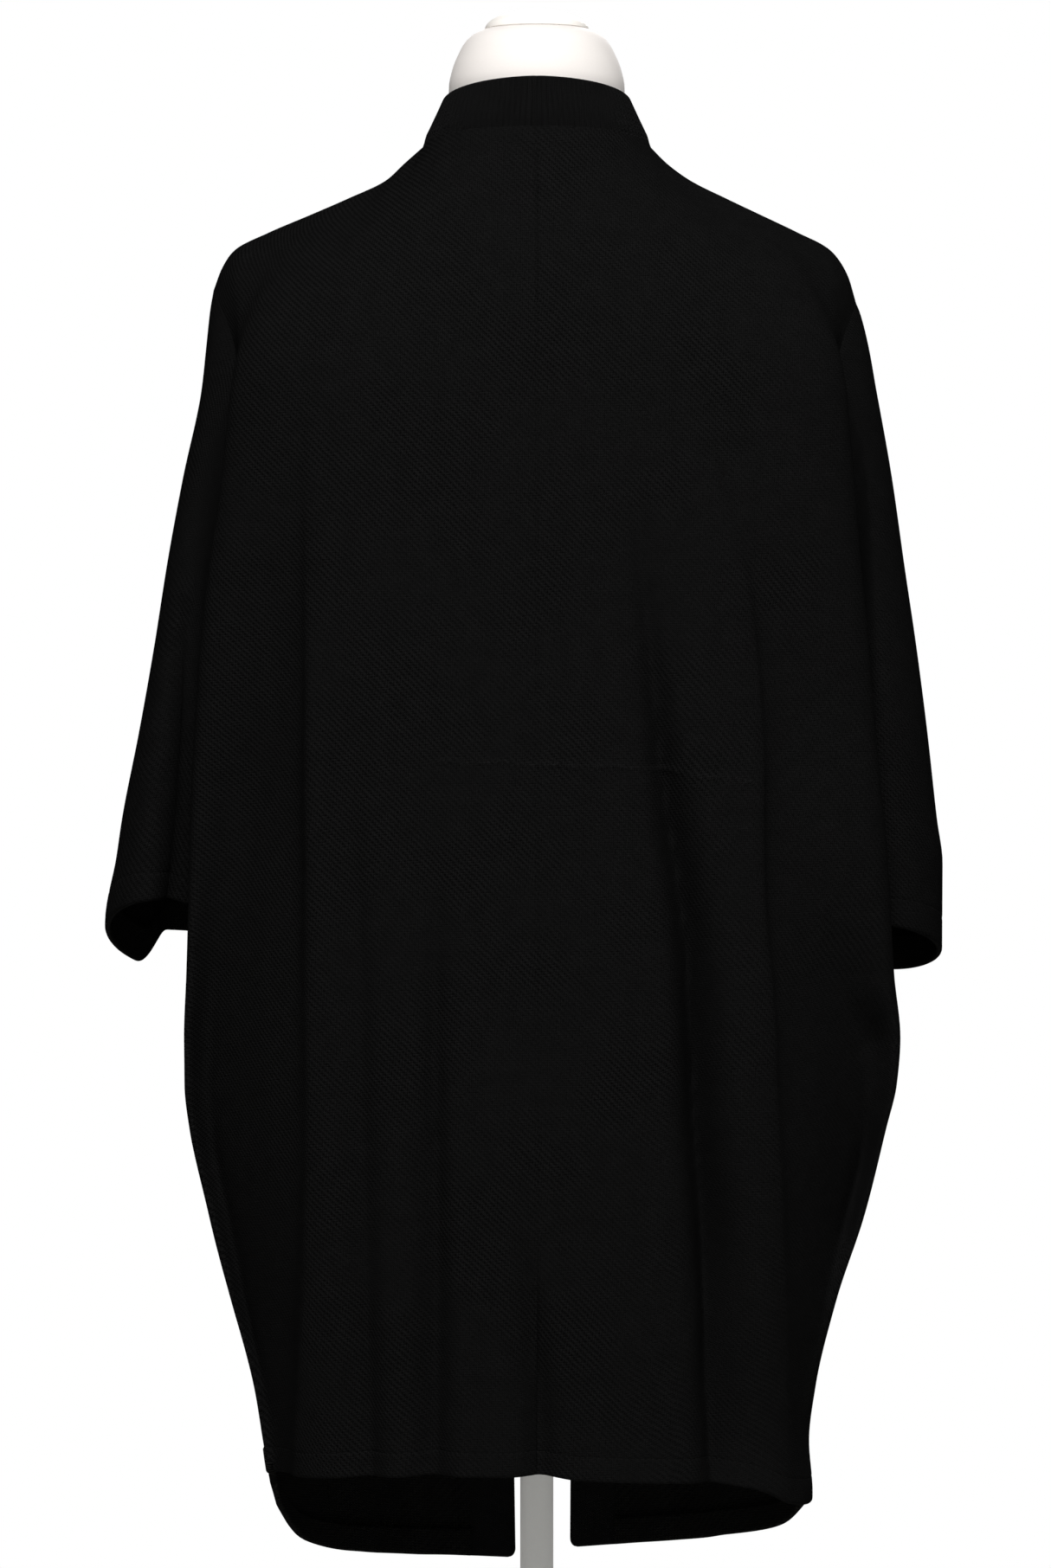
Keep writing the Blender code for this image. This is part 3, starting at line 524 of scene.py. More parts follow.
@dataclass(frozen=True)
class Drape:
    """How the cardigan hangs: the surface of every cut piece, worked out from its sections and folds."""

    nape_z: float = 1.4217
    blade_z: float = 1.250
    underarm_z: float = 1.090
    # How many rows and columns each stretch of a panel is laid out in
    yoke_rows: int = 42
    armhole_rows: int = 42
    skirt_rows: int = 120
    neck_columns: int = 42
    shoulder_columns: int = 72
    sleeve_rows: int = 96
    band_columns: int = 6
    # How square the body's sections are: 1 is an ellipse, and less is squarer
    section_power: float = 0.78
    # Share of a panel's columns that lie in the roll beside its armhole and side seam
    roll_share: float = 0.16
    # How fast a flank falls in at first, against its mean
    fall_rate: float = 1.3
    # Where the columns are evenly spaced, and how many steps measure the section there
    spacing_z: float = 1.000
    fine_steps: int = 400
    # How the yoke leaves its seam: its shares of the way across, out and down to the blades
    yoke_across: float = 0.15
    yoke_out: float = 0.52
    yoke_down: float = 0.10
    nape_out_less: float = 0.45
    nape_down_more: float = 0.20
    yoke_landing: float = 0.5
    slope_step: float = 0.01
    # Neckline: its half width at the shoulder seam and how far it stands behind and before the neck's axis
    neck_half_width: float = 0.0712
    neck_side_y: float = -0.003
    nape_y: float = 0.0625
    # The band's width, and the ways it stands at the nape and at the side of the neck
    band_width: float = 0.030
    nape_band_width: float = 0.032
    band_at_nape: tuple[float, float, float] = (0.0, -0.03, 1.0)
    band_at_side: tuple[float, float, float] = (-0.475, 0.0, 0.88)
    # How fast the left sleeve's valley reaches its full depth on the way round to the back
    valley_rate: float = 2.0
    # Share of a sleeve's length over which it hangs straight above its cuff
    sleeve_hang: float = 0.38
    cuffs: dict[Side, Cuff] = field(
        default_factory=lambda: {
            Side.LEFT: Cuff(
                half_width=0.040, outer_x=0.2756, z=0.9125, outside=0.002, behind=0.0235, front_rise=0.026
            ),
            Side.RIGHT: Cuff(half_width=0.037, outer_x=0.2590, z=0.905, outside=-0.004, behind=0.015),
        }
    )
    unevenness: Unevenness = Unevenness()

    def quarter(
        self,
        start: np.ndarray,
        share: np.ndarray,
        half_width: np.ndarray,
        side_y: np.ndarray,
        middle_y: np.ndarray,
    ) -> tuple[np.ndarray, np.ndarray]:
        """A squared quarter of an oval from its middle, or from start, round to its side.

        Args:
            start: How far round from the middle it starts, from 0 to 1.
            share: How far each point lies along it.
            half_width: Half the section's width.
            side_y: Where its side lies.
            middle_y: Where its middle lies.

        Returns:
            How far out to the side and how far back each point lies.
        """
        angle = (start + (1 - start) * share) * pi / 2
        x = half_width * np.sin(angle) ** self.section_power
        y = side_y + (middle_y - side_y) * np.cos(angle) ** self.section_power
        return x, y

    def section(self, shares: np.ndarray, z: np.ndarray, side: Side, front: bool) -> Grid:
        """Works out half a section of the body.

        Args:
            shares: How far along the half section each point lies, from 0 to 1.
            z: The height of each point.
            side: The wearer's side.
            front: Whether it is the front's half section or the back's.

        Returns:
            Its points, from the middle or the front edge to the side seam.
        """
        roll_x = ROLL.at(side.value + "_x", z)
        if front:
            outer_x = roll_x - SECTIONS.at("chest_in", z)
            outer_y = SECTIONS.at("chest_y", z)
            middle_y = SECTIONS.at("front_y", z)
            seam_x = roll_x - SECTIONS.at("front_in", z)
            seam_y = SECTIONS.at("front_seam_y", z)
            edge = FRONT_EDGE.at(side.value + "_x", z)
            start = np.arcsin((edge / outer_x) ** (1 / self.section_power)) * 2 / pi
        else:
            outer_x = roll_x
            outer_y = SECTIONS.at("roll_y", z)
            middle_y = SECTIONS.at("back_y", z)
            seam_x = roll_x - SECTIONS.at("back_in", z)
            seam_y = SECTIONS.at("back_seam_y", z)
            start = np.zeros_like(z)
        x, y = self.quarter(start, share_of(shares / (1 - self.roll_share)), outer_x, outer_y, middle_y)
        roll = share_of((shares - 1 + self.roll_share) / self.roll_share)
        x = np.where(roll > 0, outer_x + (seam_x - outer_x) * ease(roll), x)
        y = np.where(roll > 0, outer_y + (seam_y - outer_y) * roll, y)
        return np.stack([x, y, z], axis=-1)

    def even_shares(self, count: int, side: Side, front: bool) -> np.ndarray:
        """Shares along a half section that space its points evenly.

        Args:
            count: How many columns there are.
            side: The wearer's side.
            front: Whether it is a front or the back.

        Returns:
            The columns' places, from 0 to 1.
        """
        fine = np.linspace(0, 1, self.fine_steps)
        points = self.section(fine, np.full(self.fine_steps, self.spacing_z), side, front)
        length = lengths_along(points, 0)
        return np.interp(np.linspace(0, length[-1], count), length, fine)

    def shoulder_line(self, side: Side) -> Grid:
        """Points along the shoulder seam from the neckline to the armhole.

        Args:
            side: The wearer's side.

        Returns:
            The seam's points from the neck outwards.
        """
        steps = np.linspace(0, 1, self.shoulder_columns + 1)
        x = SHOULDER.at(side.value + "_x", steps)
        z = SHOULDER.at(side.value + "_z", steps)
        return np.stack([x, np.full_like(x, self.neck_side_y), z], axis=-1)

    def neckline(self, side: Side) -> Grid:
        """Points along the back neckline from the nape to just before the shoulder seam.

        Args:
            side: The wearer's side.

        Returns:
            Points from the middle to the shoulder seam.
        """
        angle = np.linspace(0, pi / 2, self.neck_columns + 1)[:-1]
        x = self.neck_half_width * np.sin(angle)
        y = self.neck_side_y + (self.nape_y - self.neck_side_y) * np.cos(angle)
        z = self.nape_z + (SHOULDER.at(side.value + "_z", 0) - self.nape_z) * (1 - np.cos(angle))
        return np.stack([x, y, z], axis=-1)

    def half_panel(self, side: Side, front: bool) -> Grid:
        """Lays out one half of the back, or one front, before its folds.

        Args:
            side: The wearer's side.
            front: Whether it is a front or a half of the back.

        Returns:
            Rows of points from the top edge to the hem, each from the middle to the side seam.
        """
        top = self.shoulder_line(side)
        if not front:
            top = np.concatenate([self.neckline(side), top])
        shares = self.even_shares(len(top), side, front)
        hem_z = HEM.at(side.value + "_z", 2 - shares if front else shares)

        def level(z: Any) -> Grid:
            """A section at a height, or at one for each column."""
            return self.section(shares, np.broadcast_to(z, shares.shape).astype(float), side, front)

        blades = level(self.blade_z)
        drop = top[:, 2] - self.blade_z
        across = self.yoke_across * (blades - top)[:, 0]
        out = self.yoke_out * np.abs(blades[:, 1] - top[:, 1]) * (-1 if front else 1)
        down = -self.yoke_down * drop
        if not front:
            nape_share = share_of(1 - np.arange(len(top)) / self.neck_columns)
            out *= 1 - self.nape_out_less * nape_share
            down -= self.nape_down_more * drop * nape_share
        slope = (blades - level(self.blade_z - self.slope_step)) / self.slope_step
        landing = slope * self.yoke_landing * drop[:, None]
        yoke = bezier(top, np.stack([across, out, down], axis=-1), landing, blades, self.yoke_rows)
        armhole = [level(z) for z in np.linspace(self.blade_z, self.underarm_z, self.armhole_rows + 1)[1:]]
        steps = np.linspace(0, 1, self.skirt_rows + 1)[1:]
        skirt = [level(self.underarm_z + (hem_z - self.underarm_z) * step) for step in steps]
        return np.concatenate([yoke, np.array(armhole), np.array(skirt)]) * side.mirror

    def folded(self, grid: Grid, folds: tuple[Table, ...], fade: np.ndarray) -> Grid:
        """Pushes a panel in along its creases.

        Args:
            grid: The panel's rows of points.
            folds: The creases' tables.
            fade: How much of each crease each column takes.

        Returns:
            The creased panel, with the knit's slight unevenness.
        """
        depth = sum(furrow(fold, grid[..., 0], grid[..., 2]) for fold in folds)
        out = self.unevenness.at(grid) - depth * fade
        return grid + normals_of(grid) * out[..., None]

    def side_fade(self, count: int, side: Side, front: bool) -> np.ndarray:
        """One over most of a panel's columns, and falling to nothing at its side seam.

        Args:
            count: How many columns there are.
            side: The wearer's side.
            front: Whether it is a front or the back.

        Returns:
            How much of a fold is left in each column.
        """
        return ease(share_of((1 - self.even_shares(count, side, front)) / self.roll_share))

    def back(self) -> Grid:
        """The whole back, from its right edge across to its left.

        Returns:
            Its rows of points from the neckline to the hem.
        """
        halves = {side: self.half_panel(side, False) for side in Side}
        fades = {side: self.side_fade(halves[side].shape[1], side, False) for side in Side}
        grid = np.concatenate([halves[Side.RIGHT][:, ::-1], halves[Side.LEFT][:, 1:]], axis=1)
        fade = np.concatenate([fades[Side.RIGHT][::-1], fades[Side.LEFT][1:]])
        grid[..., 1] -= self.flank_fall(grid) * fade
        return self.folded(grid, BACK_FOLDS, fade)

    def flank_fall(self, grid: Grid) -> np.ndarray:
        """How far each point of the back falls in where its middle overhangs the flanks.

        Args:
            grid: The back's points.

        Returns:
            How far in each point falls.
        """
        x, z = grid[..., 0], grid[..., 2]
        fall = np.zeros_like(x)
        for side, flank in FLANKS.items():
            out, outline = x * side.mirror[0], ROLL.at(side.value + "_x", z)
            start, end = flank.at("start", z), flank.at("end", z)
            along = share_of((out - start) / (end - start))
            down = along * (self.fall_rate - (self.fall_rate - 1) * along**3)
            back_again = share_of((out - end) / (outline - end)) ** 2
            fall += flank.at("depth", z) * down * (1 - back_again)
        return fall

    def front(self, side: Side) -> Grid:
        """One front, whose columns run from the wearer's left to their right.

        Args:
            side: The wearer's side.

        Returns:
            Its rows of points from the shoulder to the hem.
        """
        grid = self.half_panel(side, True)
        fade = self.side_fade(grid.shape[1], side, True)
        if side is Side.LEFT:
            grid, fade = grid[:, ::-1], fade[::-1]
        return self.folded(grid, FRONT_FOLDS, fade)

    def armhole(self, side: Side, back: Grid, front: Grid) -> Grid:
        """Points round an armhole, from the shoulder down the front's edge and up the back's.

        Args:
            side: The wearer's side.
            back: The whole back.
            front: The front on that side.

        Returns:
            Points round the armhole.
        """
        rows = slice(0, self.yoke_rows + self.armhole_rows + 1)
        if side is Side.LEFT:
            return np.concatenate([front[rows, 0], back[rows, -1][-2:0:-1]])
        return np.concatenate([front[rows, -1], back[rows, 0][-2:0:-1]])

    def sleeve(self, side: Side, armhole: Grid) -> Grid:
        """Lays out a sleeve.

        Args:
            side: The wearer's side.
            armhole: The points round its armhole.

        Returns:
            Rings of points from the armhole to the cuff.
        """
        cuff = self.cuffs[side]
        turn = np.linspace(0, 1, len(armhole), endpoint=False)
        around, behind = np.cos(2 * pi * turn), -np.sin(2 * pi * turn)
        inwards = ease(share_of(cuff.rise_rate * (cuff.rise_from - around)))
        rise = cuff.front_rise * share_of(-behind) * inwards
        end = np.stack(
            [
                cuff.outer_x + cuff.half_width * (around - 1),
                cuff.y + cuff.depth * behind,
                cuff.z + cuff.outside * around + cuff.behind * behind + rise,
            ],
            axis=-1,
        )
        start = armhole * side.mirror
        way = unit(np.stack([SLEEVE_START.at(name, turn) for name in ("out", "back", "up")], axis=-1))
        start_way = way * SLEEVE_START.at("reach", turn)[:, None]
        axis = unit(start.mean(axis=0) - end.mean(axis=0))
        end_way = axis * self.sleeve_hang * np.linalg.norm(start - end, axis=1)[:, None]
        rings = bezier(start, start_way, end_way, end, self.sleeve_rows)
        outer = rings[:, 0]
        error = SLEEVE_EDGE.at(side.value + "_x", outer[:, 2]) - outer[:, 0]
        error -= error[0]
        rings[..., 0] += error[:, None] * share_of(around) ** 2
        if side is Side.LEFT:
            depth = furrow(SLEEVE_VALLEY, rings[..., 0], rings[..., 2])
            depth *= ease(share_of(self.valley_rate * behind))
            return rings - normals_of(rings, ring=True) * depth[..., None]
        return (rings * side.mirror)[:, ::-1]

    def band(self, side: Side, back: Grid, front: Grid) -> Grid:
        """Lays out half of the neckband.

        Args:
            side: The wearer's side.
            back: The whole back, whose neckline it is sewn to.
            front: The front, whose edge it is sewn to.

        Returns:
            Rows of points from the nape round the neck and down to the front's hem.
        """
        middle = back.shape[1] // 2
        if side is Side.LEFT:
            neck = back[0, middle : middle + self.neck_columns]
            edge, beside = front[:, -1], front[:, -2]
        else:
            neck = back[0, middle : middle - self.neck_columns : -1] * side.mirror
            edge, beside = front[:, 0] * side.mirror, front[:, 1] * side.mirror
        path = np.concatenate([neck, edge])
        place = np.arange(len(path))
        nape_share = share_of(place / self.neck_columns)[:, None]
        at_nape, at_side = np.array(self.band_at_nape), np.array(self.band_at_side)
        standing = unit(at_nape * (1 - nape_share) + at_side * nape_share)
        lying = np.concatenate([np.repeat(unit(edge - beside)[:1], len(neck), axis=0), unit(edge - beside)])
        front_share = ease(share_of((place - self.neck_columns) / self.yoke_rows))[:, None]
        way = unit(standing * (1 - front_share) + lying * front_share)
        width = self.nape_band_width + (self.band_width - self.nape_band_width) * nape_share
        across = np.linspace(0, 1, self.band_columns + 1)[None, :, None]
        band = path[:, None] + (way * width)[:, None] * across
        return band if side is Side.LEFT else (band * side.mirror)[:, ::-1]

    def surfaces(self) -> dict[str, Grid]:
        """Every cut piece's surface, by the name of its node.

        Returns:
            Each surface as a grid of points.
        """
        back = self.back()
        middle = back.shape[1] // 2
        found = {"back_left": back[:, middle:], "back_right": back[:, : middle + 1]}
        for side in Side:
            front = self.front(side)
            found["front_" + side.value] = front
            found["sleeve_" + side.value] = self.sleeve(side, self.armhole(side, back, front))
            found["band_" + side.value] = self.band(side, back, front)
        return found


def shared_normals(surfaces: dict[str, Grid]) -> dict[str, Grid]:
    """Finds every surface's normals, one for all the points that lie together at a seam.

    Args:
        surfaces: Rows of points for each piece, by name.

    Returns:
        Their unit normals, by name.
    """
    found = {name: normals_of(grid, ring=name.startswith("sleeve")) for name, grid in surfaces.items()}
    points = np.concatenate([grid.reshape(-1, 3) for grid in surfaces.values()])
    normals = np.concatenate([found[name].reshape(-1, 3) for name in surfaces])
    _, group = np.unique(np.round(points, SAME_PLACE_DIGITS), axis=0, return_inverse=True)
    group = group.reshape(-1)
    totals = np.zeros((group.max() + 1, 3))
    np.add.at(totals, group, normals)
    shared = unit(totals)[group]
    starts = np.cumsum([0] + [grid.shape[0] * grid.shape[1] for grid in surfaces.values()])
    return {
        name: shared[start : start + grid.shape[0] * grid.shape[1]].reshape(grid.shape)
        for start, (name, grid) in zip(starts, surfaces.items())
    }


@dataclass(frozen=True)
class Make:
    """How the knit is made up: its thickness, seams, hems, folded edges and ribs."""

    outer_half: float = 0.0010
    inner_half: float = 0.0010
    # How far two sewn edges are pressed into each other, so that no light comes through
    seam_press: float = 0.0001
    # A sewn edge: the groove beside it, and the allowance that lies behind it
    groove: float = 0.0009
    groove_reach: float = 0.0024
    allowance: float = 0.0008
    allowance_width: float = 0.0080
    allowance_edge: float = 0.0012
    # A hem: the turned-up layer, its depth, and the dip that its stitches pull
    turn_up: float = 0.0020
    hem_depth: float = 0.0150
    hem_step: float = 0.0030
    stitch_dip: float = 0.0004
    stitch_reach: float = 0.0007
    fold_radius: float = 0.0018
    thinnest_edge: float = 0.08
    # How far a thicker wall's face comes down to the thinner one that it is joined to, and over what width
    step_down: float = 0.0
    step_reach: float = 0.0060
    rib_pitch: float = 0.0
    rib_height: float = 0.00022
    corner_radius: float = 0.0
    # Where an edge's finish needs rows of points, each in shares of its own reach
    groove_marks: tuple[float, ...] = (0, 0.2, 0.45, 0.75, 1.05)
    ribbed_marks: tuple[float, ...] = (0, 0.2, 0.75)
    step_marks: tuple[float, ...] = (0.6, 1.0)
    fold_marks: tuple[float, ...] = (0, 0.10, 0.35, 0.75, 1.2)
    stitch_marks: tuple[float, ...] = (-1.8, -0.7, 0, 0.7, 1.8, 3.2)
    rows_per_rib: int = 4

    def marks(self, edge: Edge) -> np.ndarray:
        """How far from an edge its finish needs rows of points.

        Args:
            edge: How the edge is finished.

        Returns:
            Distances from the edge.
        """
        if edge.joined and self.rib_pitch:
            groove = self.groove_reach * np.array(self.ribbed_marks)
            return np.append(groove, self.step_reach * np.array(self.step_marks))
        if edge.joined:
            groove = self.groove_reach * np.array(self.groove_marks)
            return np.append(groove, self.allowance_width + self.allowance_edge * np.array([0, 1]))
        fold = self.fold_radius * np.array(self.fold_marks)
        if edge is Edge.FOLDED:
            return fold
        stitch = self.hem_depth + self.stitch_reach * np.array(self.stitch_marks)
        return np.concatenate([fold, stitch])


@dataclass
class CutPiece:
    """One cut piece of cloth: its surface, and how each of its edges is finished."""

    name: str
    grid: Grid
    normals: Grid
    make: Make
    top: Edge
    bottom: Edge
    first: Edge
    last: Edge
    # Where the knit's own coordinates start: a share of the way across, and a row
    across_from: float
    down_from: int
    ring: bool = False
    # Whether the storage crease runs across it
    stored: bool = False
    closest: float = 0.25

    def edge_places(self, axis: int, near_start: Edge, near_end: Edge) -> np.ndarray:
        """Chooses where rows or columns of points lie.

        Args:
            axis: 0 for rows, 1 for columns.
            near_start: The finish of the edge where they start.
            near_end: The finish of the edge where they end.

        Returns:
            Fractional places along the grid, closer together beside its edges.
        """
        last = self.grid.shape[axis] - 1
        spacing = np.linalg.norm(np.diff(self.grid, axis=axis), axis=-1).mean()
        first_marks, last_marks = (self.make.marks(edge) / spacing for edge in (near_start, near_end))
        marks = np.concatenate([first_marks, last - last_marks])
        if axis == 0 and self.stored:
            heights = self.grid[..., 2].mean(axis=1)
            marks = np.append(marks, np.interp(-STORAGE_CREASE_ROWS, -heights, np.arange(last + 1)))
        own = np.arange(last + 1, dtype=float)
        own = own[np.abs(own[:, None] - marks).min(axis=1) > self.closest]
        return np.unique(np.concatenate([own, marks]))

    def rib_places(self) -> np.ndarray:
        """Row places for a ribbed piece: a few to each rib, evenly along its length.

        Returns:
            Fractional places along the rows.
        """
        length = lengths_along(self.grid, 0).mean(axis=1)
        count = round(self.make.rows_per_rib * length[-1] / self.make.rib_pitch)
        return np.interp(np.linspace(0, length[-1], count + 1), length, np.arange(len(length)))

    def prepare(self) -> None:
        """Opens a ring along its seam, and lays the piece out with rows close together at its edges."""
        if self.ring:
            half = self.grid.shape[1] // 2
            order = (np.arange(self.grid.shape[1] + 1) + half) % self.grid.shape[1]
            self.grid, self.normals = self.grid[:, order], self.normals[:, order]
        across = lengths_along(self.grid, 1)
        down = lengths_along(self.grid, 0)
        columns = self.grid.shape[1] - 1
        zero = resampled(across[..., None], np.array([self.across_from * columns]), 1)[..., 0]
        knit = np.stack([zero - across, down - down[self.down_from]], axis=-1)
        rows = self.rib_places() if self.make.rib_pitch else self.edge_places(0, self.top, self.bottom)
        places = self.edge_places(1, self.first, self.last)
        self.size = np.array([across[:, -1].max(), down[-1].max()])
        row_spacing = down[-1].mean() / (self.grid.shape[0] - 1)
        column_spacing = across[:, -1].mean() / columns
        self.from_top = (rows * row_spacing)[:, None]
        self.from_bottom = ((self.grid.shape[0] - 1 - rows) * row_spacing)[:, None]
        self.from_first = (places * column_spacing)[None]
        self.from_last = ((columns - places) * column_spacing)[None]
        self.grid, self.normals, self.knit = (
            resampled(resampled(values, rows, 0), places, 1) for values in (self.grid, self.normals, knit)
        )
        self.normals = unit(self.normals)

    def edges(self) -> tuple[tuple[Edge, np.ndarray], ...]:
        """Each edge's finish, with how far every point lies from it.

        Returns:
            The top, bottom, first and last edge.
        """
        return (
            (self.top, self.from_top),
            (self.bottom, self.from_bottom),
            (self.first, self.from_first),
            (self.last, self.from_last),
        )

    def wall(self) -> tuple[np.ndarray, np.ndarray]:
        """Works out the cloth's two faces.

        Returns:
            How far out the outer face and the inner face lie from the surface at each point.
        """
        make = self.make
        outer = np.full(self.grid.shape[:2], make.outer_half)
        inner = np.full(self.grid.shape[:2], -make.inner_half)
        if self.stored:
            outer += ridge(self.grid)
            inner += ridge(self.grid)
        if make.rib_pitch:
            outer += make.rib_height * self.ribs()
        rounding = np.ones(self.grid.shape[:2])
        for edge, distance in self.edges():
            if edge is Edge.SEWN:
                outer -= make.groove * share_of(1 - distance / make.groove_reach) ** 2
            if edge.joined:
                outer -= make.step_down * (1 - ease(share_of(distance / make.step_reach)))
                past = (distance - make.allowance_width) / make.allowance_edge
                inner -= make.allowance * (1 - ease(share_of(past)))
                continue
            if edge is Edge.HEMMED:
                past = (distance - make.hem_depth) / make.hem_step
                inner -= make.turn_up * (1 - ease(share_of(past)))
                outer -= make.stitch_dip * np.exp(-(((distance - make.hem_depth) / make.stitch_reach) ** 2))
            bend = share_of(1 - distance / make.fold_radius)
            rounding = rounding * np.maximum(np.sqrt(1 - bend**2), make.thinnest_edge)
        middle, half = (outer + inner) / 2, (outer - inner) / 2
        return middle + half * rounding, middle - half * rounding

    def ribs(self) -> np.ndarray:
        """One on the crest of each rib and minus one in the groove between two, down the piece."""
        return np.cos(2 * pi * self.from_top / self.make.rib_pitch) * np.ones(self.grid.shape[:2])

    def round_corner(self) -> None:
        """Rounds the corner between the lower end and the folded edge."""
        radius = self.make.corner_radius
        if self.first is Edge.FOLDED:
            from_side, inwards = self.from_first, self.grid[:, 1:2] - self.grid[:, :1]
        else:
            from_side, inwards = self.from_last, self.grid[:, -2:-1] - self.grid[:, -1:]
        out_across = share_of(1 - from_side / radius)
        out_down = share_of(1 - self.from_bottom / radius)
        shift_across = radius * out_across * (1 - np.sqrt(1 - out_down**2 / 2))
        shift_down = radius * out_down * (1 - np.sqrt(1 - out_across**2 / 2))
        upwards = unit(self.grid[-2:-1] - self.grid[-1:])
        self.grid = self.grid + unit(inwards) * shift_across[..., None] + upwards * shift_down[..., None]

    def press_seams(self) -> None:
        """Presses the sewn edges a little way into the pieces that they are sewn to."""
        shifts = {np.s_[0]: np.s_[1], np.s_[-1]: np.s_[-2]}
        for edge, (place, beside) in zip((self.top, self.bottom), shifts.items()):
            if edge.joined:
                self.grid[place] -= unit(self.grid[beside] - self.grid[place]) * self.make.seam_press
        if self.ring:
            return
        for edge, (place, beside) in zip((self.first, self.last), shifts.items()):
            if edge.joined:
                self.grid[:, place] -= unit(self.grid[:, beside] - self.grid[:, place]) * self.make.seam_press

    def build(self, materials: list[bpy.types.Material]) -> bpy.types.Object:
        """Makes the piece's closed wall.

        Args:
            materials: The finish of its face and that of its wrong side.

        Returns:
            The piece, with the knit's coordinates in a layer of its own.
        """
        self.prepare()
        if self.make.corner_radius:
            self.round_corner()
        self.press_seams()
        outer, inner = self.wall()
        self.outer_face = self.grid + self.normals * outer[..., None]
        inner_face = self.grid + self.normals * inner[..., None]
        rows, columns = self.grid.shape[:2]
        spans = columns - 1
        own_columns = spans if self.ring else columns
        points = np.concatenate(
            [self.outer_face[:, :own_columns].reshape(-1, 3), inner_face[:, :own_columns].reshape(-1, 3)]
        )
        r, c = (grid.reshape(-1) for grid in np.indices((rows - 1, spans)))
        down, across = np.arange(rows - 1), np.arange(spans)
        top, bottom = np.zeros_like(across), np.full_like(across, rows - 1)
        first, last = np.zeros_like(down), np.full_like(down, spans)
        faces = [
            (((0, r, c), (0, r + 1, c), (0, r + 1, c + 1), (0, r, c + 1)), 0),
            (((1, r, c), (1, r, c + 1), (1, r + 1, c + 1), (1, r + 1, c)), 1),
            (((0, top, across), (0, top, across + 1), (1, top, across + 1), (1, top, across)), 0),
            (((0, bottom, across), (1, bottom, across), (1, bottom, across + 1), (0, bottom, across + 1)), 0),
        ]
        if not self.ring:
            faces += [
                (((0, down, first), (1, down, first), (1, down + 1, first), (0, down + 1, first)), 0),
                (((0, down, last), (0, down + 1, last), (1, down + 1, last), (1, down, last)), 0),
            ]
        quads, corners, kinds = [], [], []
        for around, kind in faces:
            places = [(layer * rows + i) * own_columns + j % own_columns for layer, i, j in around]
            quads.append(np.stack(places, axis=-1))
            corners.append(np.stack([i * columns + j for _, i, j in around], axis=-1))
            kinds.append(np.full(len(quads[-1]), kind))
        quads, corners, kinds = (np.concatenate(parts) for parts in (quads, corners, kinds))
        knit = self.knit.reshape(-1, 2)[corners.reshape(-1)]
        worn = ridge(points) / STORAGE_CREASE.rows[:, 2].max() if self.stored else None
        return add_mesh(self.name, points, quads, materials, kinds, knit, worn)


def linked(name: str, data: bpy.types.ID) -> bpy.types.Object:
    """Adds an object to the scene.

    Args:
        name: Its name.
        data: Its mesh, camera or light.

    Returns:
        The new object.
    """
    obj = bpy.data.objects.new(name, data)
    bpy.context.scene.collection.objects.link(obj)
    return obj


def add_mesh(
    name: str,
    points: np.ndarray,
    quads: np.ndarray,
    materials: list[bpy.types.Material],
    kinds: np.ndarray | None = None,
    knit: np.ndarray | None = None,
    worn: np.ndarray | None = None,
    sharp: float = CLOTH_SHARP,
) -> bpy.types.Object:
    """Adds a smooth-shaded mesh of four-sided faces to the scene.

    Args:
        name: The piece's name.
        points: Its corners.
        quads: Four corners for each face.
        materials: Its finishes.
        kinds: Which finish each face takes, the first if not given.
        knit: The knit's coordinates at each face's corners.
        worn: How much the yarn is rubbed at each corner of the mesh.
        sharp: The angle past which an edge is shaded sharp.

    Returns:
        The new object.
    """
    data = bpy.data.meshes.new(name)
    data.vertices.add(len(points))
    data.vertices.foreach_set("co", points.astype(np.float32).reshape(-1))
    data.loops.add(quads.size)
    data.loops.foreach_set("vertex_index", quads.astype(np.int32).reshape(-1))
    data.polygons.add(len(quads))
    data.polygons.foreach_set("loop_start", np.arange(0, quads.size, 4, dtype=np.int32))
    if kinds is not None:
        data.polygons.foreach_set("material_index", kinds.astype(np.int32))
    for material in materials:
        data.materials.append(material)
    if knit is not None:
        layer = data.uv_layers.new(name=KNIT_MAP)
        layer.data.foreach_set("uv", knit.astype(np.float32).reshape(-1))
    if worn is not None:
        data.attributes.new(WORN, "FLOAT", "POINT").data.foreach_set("value", worn.astype(np.float32))
    data.update(calc_edges=True)
    data.validate()
    data.shade_smooth()
    data.set_sharp_from_angle(angle=sharp)
    return linked(name, data)


